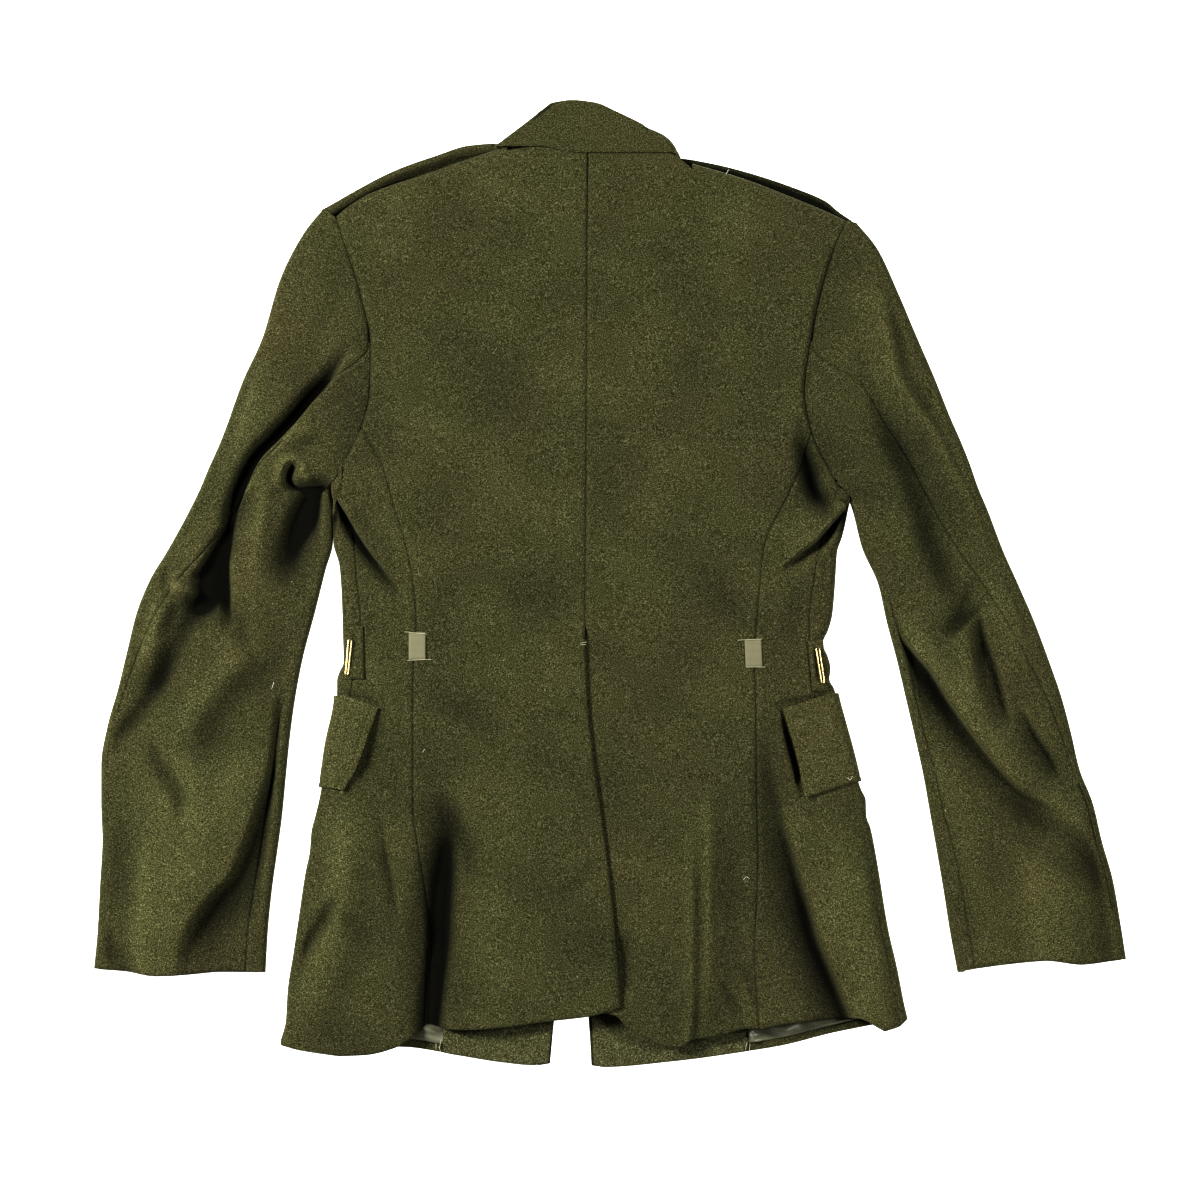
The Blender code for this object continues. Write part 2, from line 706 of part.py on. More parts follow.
def sleeve_tangent(side, row, inner_end):
    width = sleeve_frame(side, row)[3]
    low = sleeve_low(side, row, 1.0 if inner_end else 0.0)
    reach = (sleeve_edge_height(row) - low) / 2 + CLOTH / 2
    return width - reach if inner_end else reach


def hind_distance(side, row):
    section, _, _, width = sleeve_frame(side, row)
    return min(section.hind * width, width - (TUCK if row >= UNDER_SLEEVE_START else 0))


def make_top_sleeve(side, name):
    last = len(SLEEVE_L) - 1
    arc_in = OVER_COLUMNS + ARC + BELOW_COLUMNS
    columns = arc_in + ARC + 1

    def gusset(column):
        """The sleeve closes below the arm: its inner edge stands up beside the body."""
        row = UNDERARM - 1
        _, outer, across, width = sleeve_frame(side, row)
        share = (column - arc_in) / (ARC + 1)
        turn = math.radians(90 * share - 90)
        out = across * math.cos(turn) + UP * math.sin(turn)
        high = sleeve_top(side, row, width).z + CLOTH / 2
        spot = outer + across * (width - CLOTH / 2 * math.cos(turn))
        return Vector((spot.x, spot.y, lerp(sleeve_low(side, row, 1), high, share))), out

    def place(column, row):
        section, outer, across, width = sleeve_frame(side, row)
        if row == UNDERARM - 1 and column >= arc_in:
            return gusset(column)
        if column < OVER_COLUMNS:
            start = hind_distance(side, row)
            if row >= UNDER_SLEEVE_START:
                start -= SEAM_GAP / 2
            reach = lerp(start, sleeve_tangent(side, row, False), column / OVER_COLUMNS)
            return sleeve_top(side, row, reach), UP
        if column < OVER_COLUMNS + ARC:
            return sleeve_ring(side, row, arc_angle(column - OVER_COLUMNS), False)
        if column < arc_in or (column == arc_in and row < UNDERARM - 1):
            part = (column - OVER_COLUMNS - ARC) / BELOW_COLUMNS
            end = sleeve_tangent(side, row, True) if row >= UNDERARM else width
            reach = lerp(sleeve_tangent(side, row, False), end, part)
            spot = outer + across * reach
            return Vector((spot.x, spot.y, sleeve_low(side, row, part))), DOWN
        if column <= arc_in + ARC:
            return sleeve_ring(side, row, -arc_angle(column - arc_in), True)
        return sleeve_top(side, row, section.fore * width + SEAM_GAP / 2), UP

    def keep(column, row):
        return row >= UNDERARM - 1 or column < arc_in

    return wall(name, columns, last, place, WOOL, keep=keep)


def make_under_sleeve(side, name):
    last = len(SLEEVE_L) - 1

    def place(column, row):
        row += UNDER_SLEEVE_START
        section, _, _, width = sleeve_frame(side, row)
        start = hind_distance(side, row) + SEAM_GAP / 2
        end = width if row < UNDERARM else section.fore * width - SEAM_GAP / 2
        if row == UNDERARM - 1:
            end = width - CLOTH - SEAM_GAP
        return sleeve_top(side, row, lerp(start, end, column / UNDER_SLEEVE_COLUMNS)), UP

    return wall(name, UNDER_SLEEVE_COLUMNS, last - UNDER_SLEEVE_START, place, WOOL)


for side, word in ((-1, "left"), (1, "right")):
    make_top_sleeve(side, f"top_sleeve_{word}")
    make_under_sleeve(side, f"under_sleeve_{word}")

# ---- pocket flaps: on the side body, round the side edge and below the front ----------------
FLAP_ROWS = 5
FLAP_TOP = 2  # columns on the top ply
FLAP_UNDER = 3
# y at the side edge, and the inner side on the top ply, each from the top to the bottom
FLAP_EDGE = {-1: (-94, -171), 1: (-92, -166)}
FLAP_SIDE = {
    -1: [(-194, -104), (-200, -120), (-212, -153), (-223, -173)],
    1: [(144, -105), (149, -120), (157, -148), (163, -179)],
}


def make_flap(side, name):
    y_top, y_bottom = FLAP_EDGE[side]
    inner = FLAP_SIDE[side]

    def place(column, row):
        share = row / FLAP_ROWS
        y = lerp(y_top, y_bottom, share)
        inner_y = lerp(inner[0][1], inner[-1][1], share)
        if column >= FLAP_TOP + ARC:
            foot = side_ring(side, y, -90)[0]
            part = (column - FLAP_TOP - ARC) / FLAP_UNDER
            return Vector((foot.x - side * FLAP_REACH * part, y, TABLE)), DOWN
        if column >= FLAP_TOP:
            spot, out = side_ring(side, y, arc_angle(column - FLAP_TOP))
            return spot + out * PLY, out
        tangent = side_ring(side, y, 90)[0]
        part = column / FLAP_TOP
        x = lerp(at_y(inner, inner_y), tangent.x, part)
        y = lerp(inner_y, y, part)
        return Vector((x, y, back_height(side, x, y) + PLY)), UP

    return wall(name, FLAP_TOP + ARC + FLAP_UNDER, FLAP_ROWS, place, WOOL)


make_flap(-1, "pocket_flap_left")
make_flap(1, "pocket_flap_right")

# ---- facings and lining: on the inside of the fronts, where the back hem lets them show -----
INSIDE_TOP = -316.0  # y, above the back hem
INSIDE_ROWS = 3
FACING_COLUMNS = 3
LINING_COLUMNS = 4
LINING_SHORT = 7.0  # the lining ends this far above the hem
FACING_SEAM = (-140.0, 116.0)  # x of each facing's seam with the lining
LINING_END = (-226.0, 226.0)  # x where the built lining ends, left and right


def make_inside(side, name, near, far, columns, short, finish, thickness):
    """A wall on the inner face of a front, from x = near to x = far, this short of the hem."""
    hem = HEM_UNDER_L if side < 0 else HEM_UNDER_R

    def place(column, row):
        part = column / columns
        y = lerp(INSIDE_TOP, along(hem, lerp(near(INSIDE_TOP), far, part)) + short,
                 row / INSIDE_ROWS)
        x = lerp(near(y), far, part)
        return Vector((x, y, under_height(side, x, y) + PLY)), UP

    return wall(name, columns, INSIDE_ROWS, place, finish, thickness)


def make_hem(side, word):
    front_edge = FRONT_EDGE_L if side < 0 else FRONT_EDGE_R
    seam = FACING_SEAM[0 if side < 0 else 1]
    end = LINING_END[0 if side < 0 else 1]
    make_inside(side, f"facing_{word}", lambda y: at_y(front_edge, y), seam,
                FACING_COLUMNS, 0, FACING_WOOL, CLOTH)
    make_inside(side, f"lining_{word}", lambda y: seam + side * SEAM_GAP, end,
                LINING_COLUMNS, LINING_SHORT, LINING, SATIN)


make_hem(-1, "left")
make_hem(1, "right")

# ---- collar: a band of stand and fall, flattened, with a round turn at each side ------------
# One row for each station round the neck: the fold at the top of the collar, the edge of its
# fall, the seam of its stand, and the angle that the fall faces (90 up, -90 down).
Station = namedtuple("Station", "fold_x fold_y fall_x fall_y seam_x seam_y angle")
COLLAR = [
    Station(-34, 308, -106, 289, -59, 309, -90),
    Station(-42, 330, -112, 322, -69.5, 330, -90),
    Station(-50, 396, -97, 361, -83, 365, -90),
    Station(-50, 398, -98, 363, -84, 367, -45),
    Station(-50, 400, -98, 365, -85, 369, 0),
    Station(-50, 401, -97, 366, -85, 369, 45),
    Station(-50, 402, -94, 367, -84, 368, 90),
    Station(-32, 405, -60, 366, -58, 369, 90),
    Station(-13, 403, -27, 362, -26, 368, 90),
    Station(6, 395, 14, 361, 12, 368, 90),
    Station(28, 384, 54, 358, 50, 364, 90),
    Station(28, 383, 58, 357, 55, 361, 45),
    Station(28, 382, 60, 355, 58, 358, 0),
    Station(28, 380, 60, 353, 60, 355, -45),
    Station(28, 378, 58, 351, 61, 352, -90),
    Station(16, 330, 84, 322, 53, 328, -90),
    Station(8, 306, 86, 288, 39, 308, -90),
]
FOLD_RADIUS = PLY / 2
COLLAR_MIDDLE = -18.0  # x
COLLAR_TOP = 12.6  # middle of the stand where it faces up


def collar_place(column, row):
    """Rows: seam, top of the stand, fold, top of the fall, middle of the fall, fall edge.

    The stand faces away from the fall, so that the wall turns over at the fold.
    """
    station = COLLAR[column]
    fold = Vector((station.fold_x, station.fold_y, 0))
    fall = Vector((station.fall_x, station.fall_y, 0))
    seam = Vector((station.seam_x, station.seam_y, 0))
    across = (fall.lerp(seam, 0.5) - fold).normalized()
    aside = Vector((across.y, -across.x, 0))
    if aside.x * (station.fall_x - COLLAR_MIDDLE) < 0:
        aside.negate()
    turn = math.radians(station.angle)
    facing = aside * math.cos(turn) + UP * math.sin(turn)
    stand = (COLLAR_TOP - TABLE - PLY) / 2
    inset = aside * (stand + PLY + CLOTH / 2) * -math.cos(turn)
    tip = fold + across * (FOLD_RADIUS + CLOTH / 2) + inset + UP * (TABLE + PLY + stand)
    rise = Vector((0, 0, tip.z))
    if row == 0:
        return seam + inset + rise + facing * stand, -facing
    if row == 1:
        return tip + facing * stand, -facing
    if row == 2:
        return tip + facing * (stand + FOLD_RADIUS) - across * FOLD_RADIUS, -across
    if row == 3:
        return tip + facing * (stand + PLY), facing
    edge = fall + inset + rise + facing * (stand + PLY)
    return (tip + facing * (stand + PLY)).lerp(edge, (row - 3) / 2), facing


wall("collar", len(COLLAR) - 1, 5, collar_place, WOOL)

# ---- lapels: turned back along the roll line, face down on the table ------------------------
LAPEL_TURN = 2  # cells round the roll line
LAPEL_COLUMNS = 3  # cells from the roll line to the outer edge
LAPEL_ROWS = 4
# the roll line and the outer edge, each from the gorge down to the break
LAPEL_ROLL = {-1: [(-54, 296), (-23.4, 242)], 1: [(32, 296), (-10.3, 242)]}
LAPEL_EDGE = {
    -1: [(-118, 268), (-80, 250), (-30, 240)],
    1: [(94, 268), (50, 250), (-3, 240)],
}


def make_lapel(side, name):
    roll, outer = LAPEL_ROLL[side], LAPEL_EDGE[side]

    def place(column, row):
        part = row / LAPEL_ROWS
        y = lerp(roll[0][1], roll[1][1], part)
        x = at_y(roll, y) - side * SEAM_GAP
        radius = (under_height(side, x, y) - TABLE) / 2
        turn = math.radians(90 - 180 * min(column / LAPEL_TURN, 1))
        out = Vector((-side * math.cos(turn), 0, math.sin(turn)))
        spot = Vector((x, y, TABLE + radius)) + out * radius
        if column > LAPEL_TURN:
            y = lerp(outer[0][1], outer[-1][1], part)
            end = Vector((at_y(outer, y), y, TABLE))
            spot = spot.lerp(end, (column - LAPEL_TURN) / LAPEL_COLUMNS)
        return spot, out

    return wall(name, LAPEL_TURN + LAPEL_COLUMNS, LAPEL_ROWS, place, WOOL)


make_lapel(-1, "lapel_left")
make_lapel(1, "lapel_right")

# ---- shoulder straps: below the front shoulders, and seen past the shoulder edges -----------
STRAP_L = [(-237, 314), (-217, 326), (-188, 342), (-169, 350), (-147, 357), (-118, 366), (-107, 367)]
STRAP_R = [(203, 303), (192, 311), (181, 320), (154, 331), (118, 343), (89, 350), (72, 353)]
STRAP_HIDDEN = {-1: [(-220, 272), (-124, 316)], 1: [(187, 261), (100, 304)]}  # its other edge
STRAP_CELLS = 3


def make_strap(side, name):
    line = STRAP_L if side < 0 else STRAP_R
    hidden = [Vector(end) for end in STRAP_HIDDEN[side]]

    def place(column, row):
        other = hidden[0].lerp(hidden[1], column / (len(line) - 1))
        spot = Vector(line[column]).lerp(other, row / STRAP_CELLS)
        return Vector((*spot, STRAP_CLOTH / 2)), UP

    return wall(name, len(line) - 1, STRAP_CELLS, place, WOOL, STRAP_CLOTH)


make_strap(-1, "shoulder_strap_left")
make_strap(1, "shoulder_strap_right")

# ---- waist: ribbon loops over the side-back seams, and the belt hooks at the edges ----------
RIBBON_CLOTH = 1.0
Patch = namedtuple("Patch", "name x0 y0 x1 y1 width thickness lift cells")
LOOP_LIFT = (CLOTH + RIBBON_CLOTH) / 2 + SEAM_GAP
HOOK_CLOTH = 2.0
HOOK_LIFT = PLY + (CLOTH + HOOK_CLOTH) / 2 + SEAM_GAP
# each runs from its upper to its lower end, and lies this far above the middle of the top ply
PATCHES = [
    (Patch("belt_loop_left", -161.5, -41, -161.5, -64, 14, RIBBON_CLOTH, LOOP_LIFT, 3), RIBBON),
    (Patch("belt_loop_right", 119.5, -47, 120.5, -70, 14, RIBBON_CLOTH, LOOP_LIFT, 3), RIBBON),
    (Patch("hook_patch_left", -213.5, -36, -212.5, -80, 13, CLOTH, PLY, 3), WOOL),
    (Patch("hook_patch_right", 172, -48, 176, -90, 13, CLOTH, PLY, 3), WOOL),
    (Patch("belt_hook_left", -217, -46, -220, -78, 3.6, HOOK_CLOTH, HOOK_LIFT, 4), BRASS),
    (Patch("belt_hook_right", 173.5, -53, 178.5, -85, 3.6, HOOK_CLOTH, HOOK_LIFT, 4), BRASS),
]
GROOVE = 0.7  # depth of the groove along a belt hook


def make_patch(patch, finish):
    side = -1 if patch.x0 < 0 else 1
    top, bottom = Vector((patch.x0, patch.y0)), Vector((patch.x1, patch.y1))
    run = (bottom - top).normalized()
    aside = Vector((-run.y, run.x))

    def place(column, row):
        spot = top.lerp(bottom, row / patch.cells)
        spot += aside * patch.width * (column / patch.cells - 0.5)
        if finish is BRASS:
            base = max(back_height(side, end.x, end.y) for end in (top, bottom)) + GROOVE
            grooved = GROOVE if column == patch.cells / 2 else 0
            return Vector((spot.x, spot.y, base + patch.lift - grooved)), UP
        return Vector((spot.x, spot.y, back_height(side, spot.x, spot.y) + patch.lift)), UP

    return wall(patch.name, patch.cells, patch.cells, place, finish, patch.thickness)


for patch, finish in PATCHES:
    make_patch(patch, finish)

# ---- buttons: domed, face down below the left front ------------------------------------------
BUTTON_STEPS = 20
BUTTON_WELD = 0.01  # joins the turned profile's ends on the axis
BUTTON_PROFILE = [  # radius and height over the table, as shares of the button's own
    (0.0, 0.0), (0.45, 0.06), (0.8, 0.27), (1.0, 0.62), (0.93, 0.74), (0.3, 0.70), (0.25, 1.0),
    (0.0, 1.0),
]


def make_button(name, y):
    bm = bmesh.new()
    verts = [bm.verts.new((BUTTON_RADIUS * r * MM, 0, BUTTON_HEIGHT * z * MM))
             for r, z in BUTTON_PROFILE]
    edges = [bm.edges.new(pair) for pair in zip(verts, verts[1:])]
    bmesh.ops.spin(bm, geom=verts + edges, axis=(0, 0, 1), cent=(0, 0, 0), angle=2 * math.pi,
                   steps=BUTTON_STEPS, use_merge=True)
    bmesh.ops.remove_doubles(bm, verts=bm.verts, dist=BUTTON_WELD * MM)
    bmesh.ops.recalc_face_normals(bm, faces=bm.faces)
    bmesh.ops.translate(bm, verts=bm.verts, vec=(BUTTON_X * MM, y * MM, 0))
    mesh = bpy.data.meshes.new(name)
    bm.to_mesh(mesh)
    bm.free()
    mesh.materials.append(BRASS)
    mesh.shade_smooth()
    mesh.set_sharp_from_angle(angle=SHARP)
    parts.objects.link(bpy.data.objects.new(name, mesh))


for number, y in enumerate(BUTTON_YS, 1):
    make_button(f"button_{number}", y)
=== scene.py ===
"""Looks of a wool military dress tunic, buttoned and laid flat on its front.

Lengths in the tables are millimetres. +X is the wearer's right, +Y runs to the collar, +Z is up.
"""

import math
from collections import namedtuple

import bmesh
import bpy
import numpy as np
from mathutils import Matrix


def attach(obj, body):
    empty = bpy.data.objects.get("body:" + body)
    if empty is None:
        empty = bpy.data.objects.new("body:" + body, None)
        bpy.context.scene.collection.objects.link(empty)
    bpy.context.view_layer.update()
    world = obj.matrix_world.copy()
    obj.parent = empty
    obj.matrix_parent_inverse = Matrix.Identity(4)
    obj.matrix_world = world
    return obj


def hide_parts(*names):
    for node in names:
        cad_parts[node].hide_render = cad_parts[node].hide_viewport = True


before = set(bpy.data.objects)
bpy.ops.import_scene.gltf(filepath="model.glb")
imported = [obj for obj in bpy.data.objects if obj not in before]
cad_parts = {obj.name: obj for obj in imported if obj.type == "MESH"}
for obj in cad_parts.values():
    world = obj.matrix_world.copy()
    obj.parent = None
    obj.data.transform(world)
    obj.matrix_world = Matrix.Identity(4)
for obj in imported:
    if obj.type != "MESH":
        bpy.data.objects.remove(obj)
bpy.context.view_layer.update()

# ==== the table, the light and the view ======================================================
# The tunic lies on a bright white table between two large soft lamps, the left one stronger.
# The view is straight down, from far enough away that its upright parts don't lean.
TABLE_SIZE = 6.0  # metres
TABLE_DROP = 0.0004
VIEW_MIDDLE = (-0.0084, -0.0139)
VIEW_WIDTH = 1.008
LENS = 160.0
SENSOR = 36.0
LAMPS = [((-2.5, 0.9, 2.1), 325.0), ((2.4, 0.3, 2.1), 135.0)]  # place in metres, and watts
LAMP_SIZE = 0.8
SKY_LIGHT = 0.16
TABLE_GLOW = 1.4
CONTRAST = 1.6
WHITE = (1.0, 1.0, 1.0, 1.0)
TABLE_GREY = (0.5, 0.5, 0.5, 1.0)
VIEW_END = 50.0  # metres


def put_in_scene(name, data):
    made = bpy.data.objects.new(name, data)
    bpy.context.scene.collection.objects.link(made)
    return made


def set_sockets(tree, node, sockets):
    """Gives each of these inputs its value, or links it to the output that feeds it."""
    for name, given in sockets.items():
        if isinstance(given, bpy.types.NodeSocket):
            tree.links.new(given, node.inputs[name])
        else:
            node.inputs[name].default_value = given


def add_node(tree, kind, sockets, **settings):
    node = tree.nodes.new("ShaderNode" + kind)
    for name, value in settings.items():
        setattr(node, name, value)
    set_sockets(tree, node, sockets)
    return node


def new_material(name):
    """A material with its node tree and its shader."""
    made = bpy.data.materials.new(name)
    made.use_nodes = True
    return made, made.node_tree, made.node_tree.nodes["Principled BSDF"]


def lay_table():
    bm = bmesh.new()
    bmesh.ops.create_grid(bm, x_segments=1, y_segments=1, size=TABLE_SIZE / 2)
    bmesh.ops.translate(bm, verts=bm.verts, vec=(0, 0, -TABLE_DROP))
    mesh = bpy.data.meshes.new("table")
    bm.to_mesh(mesh)
    bm.free()
    white, tree, shader = new_material("white_table")
    set_sockets(tree, shader, {"Base Color": TABLE_GREY, "Roughness": 0.9, "Specular IOR Level": 0.0,
                               "Emission Color": WHITE, "Emission Strength": TABLE_GLOW})
    mesh.materials.append(white)
    put_in_scene("table", mesh)


def set_light():
    sky = bpy.data.worlds.new("sky")
    sky.use_nodes = True
    set_sockets(sky.node_tree, sky.node_tree.nodes["Background"], {"Color": WHITE, "Strength": SKY_LIGHT})
    bpy.context.scene.world = sky
    for number, (place, watts) in enumerate(LAMPS, 1):
        lamp = bpy.data.lights.new(f"soft_lamp_{number}", "AREA")
        lamp.size = LAMP_SIZE
        lamp.energy = watts
        held = put_in_scene(lamp.name, lamp)
        held.location = place
        held.rotation_mode = "QUATERNION"
        held.rotation_quaternion = held.location.normalized().to_track_quat("Z", "Y")


def set_view():
    camera = bpy.data.cameras.new("camera")
    camera.lens = LENS
    camera.sensor_width = SENSOR
    camera.clip_end = VIEW_END
    held = put_in_scene("camera", camera)
    held.location = (*VIEW_MIDDLE, VIEW_WIDTH * LENS / SENSOR)
    bpy.context.scene.camera = held
    bpy.context.scene.view_settings.view_transform = "Standard"
    bpy.context.scene.view_settings.gamma = 1 / CONTRAST


lay_table()
set_light()
set_view()

# ==== backs ==================================================================================
# Two back panels of melange wool serge, sewn down the centre to the vent, where the left one
# laps over the right one's underlap. Each is turned over the shoulder edge, and the side-back
# seams shape it. Its cloth is 1.8 mm thick with a soft nap.
MM = 0.001
CLOTH = 1.8
PLY = CLOTH + 0.8  # rise from one ply to the next
ON_TABLE = CLOTH / 2  # middle of a wall that lies on the table
EDGE_HEIGHT = 12.0  # top ply at a side or shoulder edge
CHEST_HEIGHT = 17.0  # top ply across the back
EDGE_RISE = 35.0  # distance over which it rises
SIDE_SOFT = 5.0  # the rise starts this far in from the side edge
ARM_BAND = (68.0, 106.0)  # y over which the side edge takes over from the shoulder edge
WAIST_BAND = (30.0, 60.0)  # y below which folds are held back at the side edge
SIDE_BAND = (-1.0, 8.0)  # and how far in from it they grow
SHOULDER_BAND = 12.0  # how far below the shoulder edge they grow
SEAM_CELLS = (0, 0.5, 1.1, 2.2)  # cells beside a seam or a hem, for its rolled edge
INSIDE_TOP = -316.0  # the facings and the lining begin here
INSIDE_BAND = (-320.0, -302.0)  # y over which the backs rise over them
ROLL = 0.8  # drop of the cloth into a seam
ROLL_REACH = 0.8
PUFF = 0.35  # swell of the seam allowance beside it
PUFF_REACH = (4.5, 3.0)
SEAM_PAINTED_SHADE = 5.0  # painted shade: a seam's dip darkens the colour like a fold this many times as deep
AIR = 0.5  # least gap between a fold and the ply below it
SETTLE_ROOM = 6.0  # with more room than this a fold lies free

ARMHOLE_L = [
    (-230, 307), (-221, 280), (-209, 242), (-201, 202), (-202, 160), (-209, 131), (-215, 118),
    (-221, 105), (-226, 93), (-234, 82),
]
ARMHOLE_R = [
    (198, 304), (187, 278), (176, 242), (168, 202), (163, 160), (169, 127), (176, 110), (184, 96),
    (190, 84), (202, 72),
]
SHOULDER_L = [(-230, 307), (-222, 314), (-201, 327), (-150, 344.5), (-87, 367)]
SHOULDER_R = [(69, 352), (113, 339), (148, 325.5), (181, 312), (198, 304)]
NECK_LINE = [(-87, 367), (-60, 370), (40, 369), (69, 352)]
CENTRE = [(-19, 367), (-19.5, 180), (-21, -47)]
VENT_TOP = -47.0
VENT_EDGE = [(-21, -47), (-19, -96), (-14, -145), (-6, -202), (0, -250), (5, -296), (8, -325), (9, -355)]
UNDERLAP_EDGE = [(-21, -47), (-50, -61), (-45, -131), (-37, -196), (-29, -265), (-22, -355)]
BACK_SEAM_L = [
    (-209, 131), (-200, 116), (-193, 104), (-188, 91), (-181, 66), (-172, 37), (-165, 3), (-162, -31),
    (-164, -60), (-165, -100), (-165, -187), (-160, -224), (-154, -266), (-151, -308), (-151, -337),
    (-153, -383),
]
BACK_SEAM_R = [
    (169, 127), (164, 112), (160, 99), (151, 78), (143, 62), (134, 45), (128.5, 28), (126, 3),
    (123, -31), (121, -60), (122, -89), (123, -187), (124, -224), (123, -266), (121, -308), (122, -337),
    (126, -383),
]
EDGE_L = [
    (-234, 82), (-232, 34), (-227, 15), (-225, -14), (-224, -47), (-223.5, -66), (-227, -74),
    (-229, -81), (-229, -92), (-237, -136), (-243, -176), (-247, -193), (-250.5, -207), (-252, -224),
    (-255.5, -241), (-260.5, -274), (-265.5, -308), (-270.5, -341), (-272, -366), (-276.5, -384),
]
EDGE_R = [
    (202, 72), (195, 40), (190.5, 26), (189, 3), (186.5, -26), (183, -39), (178.5, -50), (183, -62),
    (185, -71), (184, -80), (188, -88), (191, -100), (201, -136), (210, -170), (214.5, -180),
    (215, -193), (218.5, -203), (223.5, -228), (233.5, -287), (241, -320), (247, -352), (249.5, -364),
]
FRONT_EDGE_L = [
    (-92, 362), (-12, 222), (2, 205), (2, 70), (-2, -47), (-8, -98), (-27, -206), (-36, -266),
    (-46, -345), (-52, -404),
]
FRONT_EDGE_R = [
    (74, 349), (-26, 222), (-38, 205), (-38, 70), (-36, -47), (-33, -98), (-27, -206), (-24, -266),
    (-17, -345), (-13, -406),
]
HEM_BACK_L = [(-160, -366), (-145, -371), (-127, -374), (-92, -372), (-48, -366), (-16, -362), (9, -355)]
HEM_BACK_R = [
    (-22, -357), (4, -362), (14, -372), (32, -382), (45, -388), (57, -389), (68, -382), (82, -381),
    (96, -377), (112, -373), (126, -372),
]

CHEST_LIFT = 3.0  # fronts over the lapels, collar and straps below them
CHEST_LINE = (150.0, 180.0)
BUTTON_LIFT = 4.6  # left front over the buttons
BUTTON_STRIP = (-46.0, 14.0)
BUTTON_SPAN = (-62.0, 236.0)
LAP_LIFT = 3.4  # right front over the left one
LAP_SPAN = (-262.0, -212.0, 232.0, 262.0)
LAP_EDGE = 6.0
EASE = 40.0  # distance over which an under ply settles from a lift
FLAP_REACH = 118.0  # a flap goes on this far under the front
FLAP_CLEAR = 8.0
FLAP_SPAN = (-70.0, -89.0, -176.0, -187.0)
VENT_LIFT = 3.4  # left back over the right one's underlap
VENT_EASE = (52.0, 22.0)
VENT_START = (-16.0, -4.0)

# A crease runs along its path of (x, y, share of its size). A soft one is a trough or a ridge.
# The others are steps: the cloth stands up by lip on one side, leans over by lean, and falls by
# depth within edge on the other side. That side is to the right of a path that runs down the
# tunic where into is 1, as the tunic is seen from above, and to its left where into is -1.
Crease = namedtuple("Crease", "depth wide lip edge lean into path")


def trough(depth, wide, path):
    return Crease(depth, wide, 0, 0, 0, 1, path)


def ridge(height, wide, path):
    return trough(-height, wide, path)


def beside(points, shares):
    """A crease's path along the points of a seam."""
    return [(*point, share) for point, share in zip(points, shares)]


